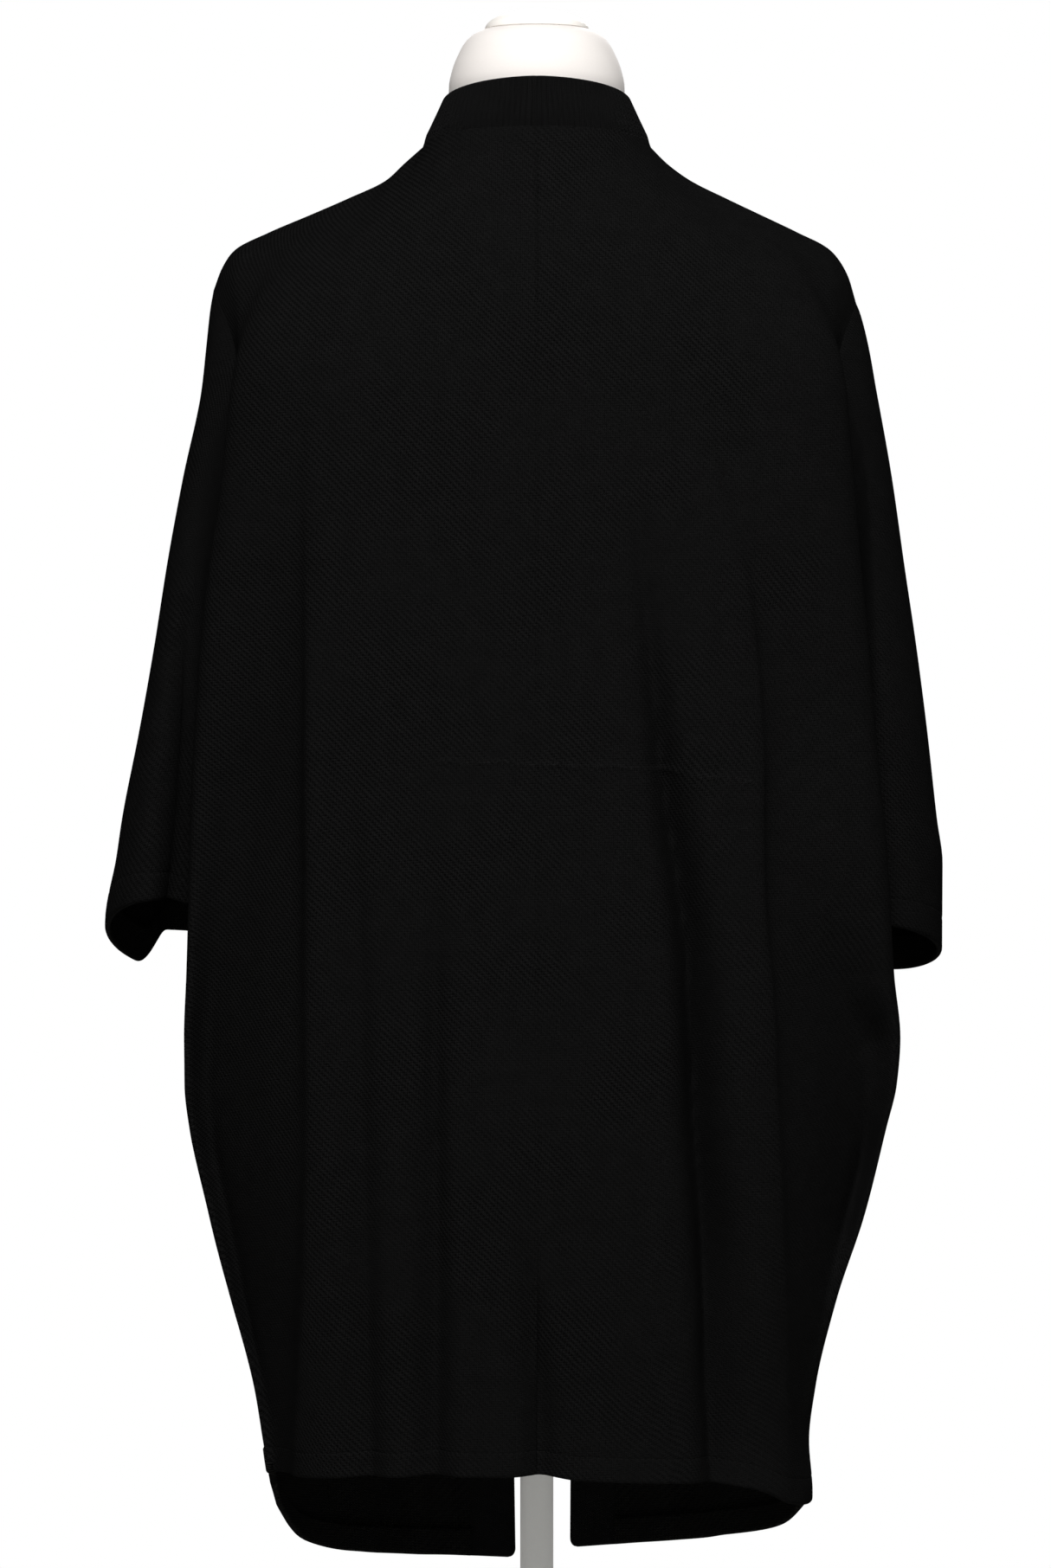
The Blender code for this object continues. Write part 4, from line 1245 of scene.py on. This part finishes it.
@dataclass(frozen=True)
class HemStitches:
    """A row of machine stitches that holds a hem, made as short bowed threads."""

    pitch: float = 0.0034
    length: float = 0.0027
    radius: float = 0.00022
    lift: float = 0.00012
    stations: int = 5
    sides: int = 6
    # Share of its thickness that a stitch has left where it dips into the cloth
    tip: float = 0.35

    def build(self, name: str, path: Grid, normals: Grid, material: bpy.types.Material) -> bpy.types.Object:
        """Lays the stitches along a path.

        Args:
            name: The piece's name.
            path: Points along the line of stitches.
            normals: Which way the cloth faces at each of them.
            material: The thread's finish.

        Returns:
            All the stitches as one object.
        """
        length = lengths_along(path, 0)
        starts = np.arange(self.pitch / 2, length[-1] - self.pitch, self.pitch)
        along = np.linspace(0, 1, self.stations)
        places = starts[:, None] + along * self.length
        centres, up = (
            np.stack([np.interp(places, length, values[:, axis]) for axis in range(3)], axis=-1)
            for values in (path, normals)
        )
        up = unit(up)
        bow = np.sin(pi * along)
        centres = centres + up * (self.lift * bow - self.radius * (1 - bow))[None, :, None]
        forward = unit(np.gradient(centres, axis=1))
        aside = unit(np.cross(forward, up))
        angles = np.linspace(0, 2 * pi, self.sides, endpoint=False)
        round_way = aside[:, :, None] * np.cos(angles)[:, None] + up[:, :, None] * np.sin(angles)[:, None]
        thick = self.radius * (self.tip + (1 - self.tip) * np.sqrt(bow))
        points = centres[:, :, None] + round_way * thick[None, :, None, None]
        s, k = (grid.reshape(-1) for grid in np.indices((self.stations - 1, self.sides)))
        n = (k + 1) % self.sides
        near, far = s * self.sides, (s + 1) * self.sides
        tube = np.stack([near + k, near + n, far + n, far + k], axis=-1)
        # Two faces close each end of the six-sided thread
        end = np.array([[3, 2, 1, 0], [5, 4, 3, 0]])
        one = np.concatenate([tube, end, end[:, ::-1] + (self.stations - 1) * self.sides])
        steps = np.arange(len(starts)) * self.stations * self.sides
        quads = (one[None] + steps[:, None, None]).reshape(-1, 4)
        return add_mesh(name, points.reshape(-1, 3), quads, [material], sharp=pi)


def linear(colour: str) -> Colour:
    """Turns a colour into the linear values that a shader takes.

    Args:
        colour: Its sRGB hex value.

    Returns:
        Red, green, blue and a full alpha.
    """
    channels = [int(colour[i : i + 2], 16) / 255 for i in (1, 3, 5)]
    red, green, blue = (c / 12.92 if c <= 0.04045 else ((c + 0.055) / 1.055) ** 2.4 for c in channels)
    return (red, green, blue, 1.0)


def add_node(
    tree: bpy.types.NodeTree, kind: str, inputs: dict[int | str, Any] | None = None, **settings: Any
) -> bpy.types.Node:
    """Adds a node with its settings and links.

    Args:
        tree: The material's or world's nodes.
        kind: The node's type.
        inputs: A value, a socket or a node for each input; a node stands for its first output.
        settings: The node's own properties.

    Returns:
        The new node.
    """
    node = tree.nodes.new(kind)
    for name, value in settings.items():
        setattr(node, name, value)
    for socket, value in (inputs or {}).items():
        if isinstance(value, bpy.types.Node):
            value = value.outputs[0]
        if isinstance(value, bpy.types.NodeSocket):
            tree.links.new(value, node.inputs[socket])
        else:
            node.inputs[socket].default_value = value
    return node


def new_material(name: str) -> tuple[bpy.types.Material, Callable[..., bpy.types.Node]]:
    """Starts an empty material.

    Args:
        name: Its name.

    Returns:
        The material, and add_node for its own nodes.
    """
    material = bpy.data.materials.new(name)
    material.use_nodes = True
    material.node_tree.nodes.clear()
    return material, partial(add_node, material.node_tree)


@dataclass(frozen=True)
class KnitFinish:
    """Cotton and viscose yarn, dyed black and knitted as a small diagonal jacquard.

    The eye sees short diagonal ridges over fine upright wales, almost black and quite matt, with painted
    shade darkening the grooves between the stitches.
    """

    name: str
    # The yarn's colour on its crests, and the colour of the grooves between the stitches, which is painted
    # shade
    yarn: str = "#151515"
    groove: str = "#070707"
    roughness: float = 0.95
    specular: float = 0.0
    sheen: float = 0.001
    sheen_roughness: float = 0.5
    twill: float = 3.0 * MILLIMETRE
    bead: float = 2.2 * MILLIMETRE
    bead_part: float = 0.5
    wale: float = 1.3 * MILLIMETRE
    course: float = 1.1 * MILLIMETRE
    relief: float = 0.35 * MILLIMETRE
    wander: float = 1.1 * MILLIMETRE
    wander_length: float = 9.0 * MILLIMETRE
    fleck: float = 1.4 * MILLIMETRE
    # Patches where the yarn's pile lies another way
    patch: float = 11.0 * MILLIMETRE
    patch_part: float = 0.7
    # How much lighter the yarn is where a stored fold has rubbed it
    rubbed_part: float = 0.8
    speckle_from: float = 0.50
    speckle_full: float = 0.66
    # How much of the relief the ridges, the wales and the courses have, and the flecks of uneven yarn
    ridge_part: float = 0.42
    wale_part: float = 0.30
    course_part: float = 0.28
    fleck_part: float = 1.3
    # Areas where the relief is pressed flatter or stands prouder, and how much of it is left in each
    pressed: float = 75.0 * MILLIMETRE
    press_from: float = 0.35
    press_full: float = 0.65
    flattest: float = 0.5
    proudest: float = 1.7
    # How much prouder it stands for each metre towards the wearer's left
    press_lean: float = 0.8
    # How fine the unevenness within each noise is
    broad_detail: float = 1.0
    fleck_detail: float = 2.0
    patch_detail: float = 4.0

    def build(self) -> bpy.types.Material:
        """Makes the material from the knit's own coordinates.

        Returns:
            The material.
        """
        material, add = new_material(self.name)
        maths, noise, shifting = "ShaderNodeMath", "ShaderNodeTexNoise", "ShaderNodeVectorMath"
        place = add("ShaderNodeUVMap", uv_map=KNIT_MAP)
        drift, pressing = (
            add(noise, {"Vector": place, "Scale": 1 / size, "Detail": self.broad_detail})
            for size in (self.wander_length, self.pressed)
        )
        centred = add(shifting, {0: drift.outputs["Color"], 1: (0.5, 0.5, 0.5)}, operation="SUBTRACT")
        shift = add(shifting, {0: centred, "Scale": self.wander}, operation="SCALE")
        moved = add(shifting, {0: place, 1: shift}, operation="ADD")
        across, down = add("ShaderNodeSeparateXYZ", {0: moved}).outputs[:2]
        waves = []
        for slope, length in (("SUBTRACT", self.twill), ("ADD", self.bead)):
            slant = add(maths, {0: across, 1: down}, operation=slope)
            turns = add(maths, {0: slant, 1: 2 * pi / (length * sqrt(2))}, operation="MULTIPLY")
            waves.append(add(maths, {0: turns}, operation="SINE"))
        beads = add(maths, {0: waves[1], 1: self.bead_part, 2: 1 - self.bead_part}, operation="MULTIPLY_ADD")
        ridges = add(maths, {0: waves[0], 1: beads}, operation="MULTIPLY")
        pressing = add(maths, {0: across, 1: -self.press_lean, 2: pressing}, operation="MULTIPLY_ADD")
        source = {"Value": pressing, "From Min": self.press_from, "From Max": self.press_full}
        standing = add("ShaderNodeMapRange", source | {"To Min": self.flattest, "To Max": self.proudest})
        ridges = add(maths, {0: ridges, 1: standing}, operation="MULTIPLY")
        wales = add(maths, {0: across, 1: pi / self.wale}, operation="MULTIPLY")
        for step in ("SINE", "ABSOLUTE"):
            wales = add(maths, {0: wales}, operation=step)
        courses = add(maths, {0: wales, 1: self.course / 2, 2: down}, operation="MULTIPLY_ADD")
        courses = add(maths, {0: courses, 1: 2 * pi / self.course}, operation="MULTIPLY")
        courses = add(maths, {0: courses}, operation="SINE")
        flecks = add(noise, {"Vector": moved, "Scale": 1 / self.fleck, "Detail": self.fleck_detail})
        height: float | bpy.types.Node = 0.0
        layers = (ridges, wales, courses, flecks)
        for layer, part in zip(layers, (self.ridge_part, self.wale_part, self.course_part, self.fleck_part)):
            height = add(maths, {0: layer, 1: part, 2: height}, operation="MULTIPLY_ADD")
        lowest = self.fleck_part / 2 - self.ridge_part
        highest = self.fleck_part / 2 + self.ridge_part + self.wale_part
        level = add("ShaderNodeMapRange", {"Value": height, "From Min": lowest, "From Max": highest})
        patches = add(noise, {"Vector": place, "Scale": 1 / self.patch, "Detail": self.patch_detail})
        source = {0: patches, 1: self.patch_part, 2: 1 - self.patch_part / 2}
        uneven = add(maths, source, operation="MULTIPLY_ADD")
        level = add(maths, {0: level, 1: uneven}, operation="MULTIPLY")
        worn = add("ShaderNodeAttribute", attribute_name=WORN)
        source = {"Value": flecks, "From Min": self.speckle_from, "From Max": self.speckle_full}
        speckles = add("ShaderNodeMapRange", source)
        rubbed = add(maths, {0: worn.outputs["Fac"], 1: speckles}, operation="MULTIPLY")
        level = add(maths, {0: rubbed, 1: self.rubbed_part, 2: level}, operation="MULTIPLY_ADD")
        # The colour runs with the knit's height, from the grooves' painted shade up to the yarn's colour, on
        # top of the bump
        colours = {"Factor": level, "A": linear(self.groove), "B": linear(self.yarn)}
        colour = add("ShaderNodeMix", colours, data_type="RGBA", clamp_factor=False)
        surface = {
            "Base Color": colour.outputs["Result"],
            "Roughness": self.roughness,
            "Specular IOR Level": self.specular,
            "Sheen Weight": self.sheen,
            "Sheen Roughness": self.sheen_roughness,
            "Normal": add("ShaderNodeBump", {"Height": height, "Distance": self.relief, "Strength": 1.0}),
        }
        add("ShaderNodeOutputMaterial", {"Surface": add("ShaderNodeBsdfPrincipled", surface)})
        return material


@dataclass(frozen=True)
class ThreadFinish:
    """Spun polyester sewing thread in black, a little glossier than the knit that it holds."""

    name: str = "polyester_thread"
    colour: str = "#131313"
    roughness: float = 0.8
    specular: float = 0.05
    ply: float = 0.5 * MILLIMETRE
    relief: float = 0.08 * MILLIMETRE

    def build(self) -> bpy.types.Material:
        """Makes the material, with the thread's twist as fine bands.

        Returns:
            The material.
        """
        material, add = new_material(self.name)
        source = {"Vector": add("ShaderNodeTexCoord").outputs["Object"], "Scale": 1 / (self.ply * 2 * pi)}
        twist = add("ShaderNodeTexWave", source, bands_direction="DIAGONAL")
        surface = {
            "Base Color": linear(self.colour),
            "Roughness": self.roughness,
            "Specular IOR Level": self.specular,
            "Normal": add("ShaderNodeBump", {"Height": twist, "Distance": self.relief}),
        }
        add("ShaderNodeOutputMaterial", {"Surface": add("ShaderNodeBsdfPrincipled", surface)})
        return material


@dataclass(frozen=True)
class SolidFinish:
    """A painted, moulded or stretched surface whose grain is fine and even.

    The eye sees one soft colour, with a grain that only breaks its highlights.
    """

    name: str
    colour: str
    dull: str
    roughness: float
    specular: float
    grain: float
    relief: float
    sheen: float = 0.0
    grain_detail: float = 3.0

    def build(self) -> bpy.types.Material:
        """Makes the material from a fine noise in the object's own space.

        Returns:
            The material.
        """
        material, add = new_material(self.name)
        place = add("ShaderNodeTexCoord").outputs["Object"]
        source = {"Vector": place, "Scale": 1 / self.grain, "Detail": self.grain_detail}
        grain = add("ShaderNodeTexNoise", source)
        colours = {"Factor": grain, "A": linear(self.dull), "B": linear(self.colour)}
        colour = add("ShaderNodeMix", colours, data_type="RGBA")
        surface = {
            "Base Color": colour.outputs["Result"],
            "Roughness": self.roughness,
            "Specular IOR Level": self.specular,
            "Sheen Weight": self.sheen,
            "Normal": add("ShaderNodeBump", {"Height": grain, "Distance": self.relief}),
        }
        add("ShaderNodeOutputMaterial", {"Surface": add("ShaderNodeBsdfPrincipled", surface)})
        return material


# Double jacquard knit, cotton and viscose: its face, and its wrong side with looser, larger stitches and a
# darker painted shade in its grooves
KNIT_FACE = KnitFinish("cotton_viscose_jacquard_face")
KNIT_BACK = KnitFinish(
    "cotton_viscose_jacquard_wrong_side",
    yarn="#171716",
    groove="#030303",
    twill=4.5 * MILLIMETRE,
    wale=1.9 * MILLIMETRE,
    course=1.6 * MILLIMETRE,
    ridge_part=0.2,
    wale_part=0.4,
    course_part=0.4,
)
# Folded rib knit: the same yarn in fine ribs that run across the band, with painted shade in its grooves, and
# its yarn's colour painted lighter than the face's, as painted light, since the upright band catches less of
# the light from above than the sloping yoke
KNIT_RIB_PAINTED_LIGHTER = KnitFinish("cotton_viscose_rib", yarn="#191919", ridge_part=0.1, wale_part=0.4, course_part=0.5)
THREAD = ThreadFinish()
# Cotton jersey stretched tight over the form: even and warm white, with a soft bloom and no gloss
JERSEY = SolidFinish(
    "cotton_jersey_cover", "#e6e1dd", "#e1dbd6", 0.85, 0.25, 0.9 * MILLIMETRE, 0.06 * MILLIMETRE, 0.1
)
# Moulded ABS with a fine spark-eroded texture: a satin cap, a shade smoother than the jersey
ABS_CAP = SolidFinish("moulded_abs_cap", "#f6f2ec", "#f1ece5", 0.45, 0.5, 0.6 * MILLIMETRE, 0.02 * MILLIMETRE)
# Powder-coated steel: satin white, with the slight orange peel of the baked powder
POWDER = SolidFinish(
    "powder_coated_steel", "#f0f0ee", "#ebebe9", 0.38, 0.5, 1.6 * MILLIMETRE, 0.03 * MILLIMETRE
)
# Matt emulsion on a studio floor: pale, without reflections
EMULSION = SolidFinish(
    "matt_emulsion_floor", "#dddcd9", "#d8d7d4", 0.9, 0.2, 4.0 * MILLIMETRE, 0.05 * MILLIMETRE
)


def dress(obj: bpy.types.Object, slot: str, *nodes: str) -> None:
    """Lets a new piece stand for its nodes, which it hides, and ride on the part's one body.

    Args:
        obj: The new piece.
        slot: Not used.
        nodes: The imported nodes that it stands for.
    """
    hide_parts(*nodes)
    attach(obj, BODY)
    LOG.info("%s: %d faces", obj.name, len(obj.data.polygons))


@dataclass
class Cardigan:
    """The garment: eight cut pieces and the stitches that hold their hems."""

    drape: Drape = field(default_factory=Drape)
    cloth: Make = field(default_factory=Make)
    band: Make = field(
        default_factory=lambda: Make(
            outer_half=0.0020,
            inner_half=0.0010,
            allowance=0.0,
            fold_radius=0.0016,
            step_down=0.0011,
            rib_pitch=0.0015,
            corner_radius=0.0055,
        )
    )
    stitches: HemStitches = field(default_factory=HemStitches)
    # What cutting adds to the piece as it hangs: its seam allowances and its turned-up hem
    seam_allowance: float = 0.008
    hem_allowance: float = 0.015

    def pieces(self) -> list[CutPiece]:
        """Every cut piece with the finish of its edges.

        Returns:
            The pieces, not yet built.
        """
        surfaces = self.drape.surfaces()
        normals = shared_normals(surfaces)
        blades = self.drape.yoke_rows
        sewn, flat, hemmed, folded = Edge.SEWN, Edge.FLAT, Edge.HEMMED, Edge.FOLDED
        edges = {
            "back_left": (self.cloth, flat, hemmed, sewn, flat, 0.0, blades),
            "back_right": (self.cloth, flat, hemmed, flat, sewn, 1.0, blades),
            "front_left": (self.cloth, flat, hemmed, flat, sewn, 1.0, blades),
            "front_right": (self.cloth, flat, hemmed, sewn, flat, 0.0, blades),
            "sleeve_left": (self.cloth, flat, hemmed, sewn, sewn, 0.5, -1),
            "sleeve_right": (self.cloth, flat, hemmed, sewn, sewn, 0.5, -1),
            "band_left": (self.band, sewn, folded, flat, folded, 0.0, 0),
            "band_right": (self.band, sewn, folded, folded, flat, 1.0, 0),
        }
        return [
            CutPiece(
                name,
                grid,
                normals[name],
                *edges[name],
                ring=name.startswith("sleeve"),
                stored=name.startswith("back"),
            )
            for name, grid in surfaces.items()
        ]

    def hem_row(self, piece: CutPiece) -> int:
        """The row of a hemmed piece on which its stitches lie.

        Args:
            piece: The hemmed piece.

        Returns:
            The row's number.
        """
        return int(np.abs(piece.from_bottom[:, 0] - self.cloth.hem_depth).argmin())

    def build(self, torso: bpy.types.Object) -> None:
        """Makes the cut pieces and sews their hems.

        Args:
            torso: Not used.
        """
        face, wrong_side, rib = KNIT_FACE.build(), KNIT_BACK.build(), KNIT_RIB_PAINTED_LIGHTER.build()
        thread = THREAD.build()
        for piece in self.pieces():
            node = piece.name
            banded = node.startswith("band")
            piece.name = node + ("_rib" if banded else "_knit")
            obj = piece.build([rib, rib] if banded else [face, wrong_side])
            dress(obj, "knit", node)
            stitched = []
            if piece.bottom is Edge.HEMMED:
                row = self.hem_row(piece)
                stitched.append(
                    self.stitches.build(node + "_stitches", piece.outer_face[row], piece.normals[row], thread)
                )
                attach(stitched[0], BODY)


def turned(
    name: str, profile: np.ndarray, material: bpy.types.Material, sides: int = 128
) -> bpy.types.Object:
    """Turns a profile about the upright axis.

    Args:
        name: The piece's name.
        profile: Radius and height of each point, from the top down the outer side to the underside's middle.
        material: Its finish.
        sides: How many faces go round it.

    Returns:
        The turned piece.
    """
    angles = np.linspace(0, 2 * pi, sides, endpoint=False)
    rings = [[(r * np.cos(a), r * np.sin(a), z) for a in angles] for r, z in profile[1:-1]]
    return lofted(name, np.array(rings), profile[0], profile[-1], material)


def lofted(
    name: str, rings: Grid, top: Sequence[float], bottom: Sequence[float], material: bpy.types.Material
) -> bpy.types.Object:
    """Joins rings of points from the top down and closes both ends.

    Args:
        name: The piece's name.
        rings: The rings, each from the +X side round by the +Y side.
        top: Radius, which is nothing, and height of the top's middle.
        bottom: The same for the underside's.
        material: Its finish.

    Returns:
        The closed piece.
    """
    count, sides = rings.shape[:2]
    data = bpy.data.meshes.new(name)
    points = [*rings.reshape(-1, 3), (0.0, 0.0, top[1]), (0.0, 0.0, bottom[1])]
    top_point, bottom_point = count * sides, count * sides + 1
    last = (count - 1) * sides
    faces: list[tuple[int, ...]] = []
    for k in range(sides):
        n = (k + 1) % sides
        faces.append((top_point, k, n))
        faces.append((bottom_point, last + n, last + k))
        for near in range(0, last, sides):
            far = near + sides
            faces.append((near + k, far + k, far + n, near + n))
    data.from_pydata([tuple(point) for point in points], [], faces)
    data.materials.append(material)
    data.shade_smooth()
    data.set_sharp_from_angle(angle=TURNED_SHARP)
    return linked(name, data)


def rounded(profile: Sequence[tuple[float, float]], radius: float, steps: int = 6) -> np.ndarray:
    """Rounds the corners of a profile.

    Args:
        profile: Radius and height of each corner. The first and the last stay as they are.
        radius: The most that is taken off each side of a corner.
        steps: How many spans each rounded corner has.

    Returns:
        The profile's points.
    """
    corners = np.array(profile, float)
    found = [corners[0]]
    t = np.linspace(0, 1, steps + 1)[:, None]
    for before, corner, after in zip(corners, corners[1:], corners[2:]):
        reach = min(radius, np.linalg.norm(before - corner) / 2, np.linalg.norm(after - corner) / 2)
        start = corner + unit(before - corner) * reach
        end = corner + unit(after - corner) * reach
        found.extend(start * (1 - t) ** 2 + 2 * corner * t * (1 - t) + end * t**2)
    found.append(corners[-1])
    return np.array(found)


@dataclass
class DressForm:
    """The limbless dress form: a torso in a jersey cover, with a moulded cap in its neck."""

    rows: int = 200
    columns: int = 144
    lower_edge: float = 0.004
    cap_radius: float = 0.0330
    cap_top_z: float = 1.5015
    cap_gap: float = 0.0003
    cap_edge: float = 0.0008
    cap_steps: int = 24
    edge_steps: int = 4

    def torso(self) -> bpy.types.Object:
        """The covered torso, from its neck rim down to its flat underside.

        Returns:
            The torso, which the cloth rests on.
        """
        bottom, top = FORM.rows[0, 0], FORM.rows[-1, 0]
        share = np.linspace(0, 1, self.rows)
        heights = top + (bottom + self.lower_edge - top) * share
        angles = np.linspace(0, 2 * pi, self.columns, endpoint=False)
        cos, sin = np.cos(angles), np.sin(angles)
        rings = [self.ring(z, z, cos, sin, 0.0) for z in heights]
        for angle in np.linspace(0, pi / 2, self.edge_steps + 1)[1:]:
            z = bottom + self.lower_edge * (1 - np.sin(angle))
            rings.append(self.ring(heights[-1], z, cos, sin, self.lower_edge * (1 - np.cos(angle))))
        obj = lofted("torso_cover", np.array(rings), (0, top), (0, bottom), JERSEY.build())
        dress(obj, "form_cover", "form_torso")
        return obj

    def ring(self, section_z: float, z: float, cos: np.ndarray, sin: np.ndarray, inset: float) -> np.ndarray:
        """One section of the torso, drawn in by an inset and laid at a height.

        Args:
            section_z: The height whose section it takes.
            z: The height at which it lies.
            cos: The way round, across.
            sin: The way round, to the back.
            inset: How far in it is drawn.

        Returns:
            The section's points.
        """
        power = FORM.at("power", section_z)
        depth = np.where(sin > 0, FORM.at("back_y", section_z), -FORM.at("front_y", section_z)) - inset
        x = (FORM.at("half_width", section_z) - inset) * np.sign(cos) * np.abs(cos) ** power
        y = depth * np.sign(sin) * np.abs(sin) ** power
        return np.stack([x, y, np.full_like(x, z)], axis=-1)

    def cap(self) -> None:
        """The neck cap: a low dome with a softened rim on a flat underside."""
        underside = FORM.rows[-1, 0] + self.cap_gap
        angles = np.linspace(pi / 2, 0, self.cap_steps)
        rise = self.cap_top_z - underside
        dome = np.stack([self.cap_radius * np.cos(angles), underside + rise * np.sin(angles)], axis=-1)
        dome[-1, 1] += self.cap_edge / 2
        foot = np.array([[self.cap_radius - self.cap_edge / 2, underside], [0.0, underside]])
        obj = turned("neck_cap_dome", np.concatenate([dome, foot]), ABS_CAP.build())
        dress(obj, "neck_cap", "form_neck_cap")


@dataclass
class Stand:
    """The floor stand: a round steel base with a collar, and the pole that carries the torso."""

    pole_radius: float = 0.0105
    base_radius: float = 0.175
    base_edge: float = 0.010
    base_crown: float = 0.018
    hub_radius: float = 0.024
    hub_height: float = 0.060
    gap: float = 0.0003
    edge: float = 0.0015
    pole_sides: int = 64

    def build(self) -> None:
        """Makes the base and the pole."""
        coat = POWDER.build()
        crown = rounded(
            [
                (0.0, self.hub_height),
                (self.hub_radius, self.hub_height),
                (self.hub_radius, self.base_crown),
                (self.base_radius - self.base_edge, self.base_edge),
                (self.base_radius, self.base_edge / 2),
                (self.base_radius, 0.0),
                (0.0, 0.0),
            ],
            self.edge,
        )
        base = turned("round_base", crown, coat)
        dress(base, "stand", "stand_base")
        bottom, top = self.hub_height + self.gap, FORM.rows[0, 0] - self.gap
        tube = rounded(
            [(0.0, top), (self.pole_radius, top), (self.pole_radius, bottom), (0.0, bottom)], self.edge
        )
        pole = turned("pole_tube", tube, coat, self.pole_sides)
        dress(pole, "stand", "stand_pole")


@dataclass
class SoftBox:
    """A square studio light."""

    name: str
    place: tuple[float, float, float]
    power: float
    size: float = 1.6


@dataclass
class Studio:
    """The camera, the light and the pale floor."""

    # The photograph's height, and how wide one of its pixels is at the garment's axis
    frame_height: int = 1812
    pixel: float = 0.00055
    camera_distance: float = 4.2
    camera_x: float = 0.00715
    camera_z: float = 1.010
    sensor: float = 36.0
    floor_half: float = 3.0
    target: tuple[float, float, float] = (0.0, 0.0, 1.10)
    backdrop: float = 1.0
    ambient: float = 0.05
    soft_boxes: tuple[SoftBox, ...] = (
        SoftBox("soft_box_behind", (0.0, 3.1, 4.3), 258.0),
        SoftBox("soft_box_before", (-0.6, -4.2, 3.3), 165.0),
        SoftBox("soft_box_left", (3.4, 0.4, 2.6), 4.5),
        SoftBox("soft_box_right", (-3.4, 0.2, 2.6), 4.5),
    )

    def build(self) -> None:
        """Sets up everything round the object."""
        self.camera()
        self.world()
        for box in self.soft_boxes:
            self.light(box)
        self.floor()
        bpy.context.scene.view_settings.view_transform = "Standard"

    def camera(self) -> None:
        """A level camera behind the garment, which frames it as in the photograph."""
        data = bpy.data.cameras.new("camera")
        data.sensor_width = self.sensor
        data.lens = self.sensor * self.camera_distance / (self.frame_height * self.pixel)
        camera = linked("camera", data)
        camera.location = (self.camera_x, self.camera_distance, self.camera_z)
        camera.rotation_euler = (pi / 2, 0, pi)
        bpy.context.scene.camera = camera

    def world(self) -> None:
        """A white surround that lights the object less than it shows."""
        world = bpy.data.worlds.new("studio_white")
        world.use_nodes = True
        tree = world.node_tree
        tree.nodes.clear()
        seen = add_node(tree, "ShaderNodeLightPath").outputs["Is Camera Ray"]
        fill = add_node(tree, "ShaderNodeBackground", {"Strength": self.ambient, "Color": (1, 1, 1, 1)})
        white = add_node(tree, "ShaderNodeBackground", {"Strength": self.backdrop, "Color": (1, 1, 1, 1)})
        mixed = add_node(tree, "ShaderNodeMixShader", {0: seen, 1: fill, 2: white})
        add_node(tree, "ShaderNodeOutputWorld", {"Surface": mixed})
        bpy.context.scene.world = world

    def light(self, box: SoftBox) -> None:
        """One soft box, turned to the garment.

        Args:
            box: The light's size, place and power.
        """
        data = bpy.data.lights.new(box.name, "AREA")
        data.shape = "SQUARE"
        data.size = box.size
        data.energy = box.power
        light = linked(box.name, data)
        light.location = box.place
        light.rotation_mode = "QUATERNION"
        light.rotation_quaternion = (Vector(self.target) - Vector(box.place)).to_track_quat("-Z", "Y")

    def floor(self) -> None:
        """A pale square of floor just under the base."""
        half = self.floor_half
        corners = np.array([(-half, -half, 0), (half, -half, 0), (half, half, 0), (-half, half, 0)], float)
        floor = add_mesh("floor", corners, np.array([[0, 1, 2, 3]]), [EMULSION.build()])


def main() -> None:
    """Loads the frame, and builds the form, its stand and the cardigan round it."""
    logging.basicConfig(level=logging.INFO, format="%(message)s")
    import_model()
    Studio().build()
    form = DressForm()
    torso = form.torso()
    form.cap()
    Stand().build()
    Cardigan().build(torso)


if __name__ == "__main__":
    main()
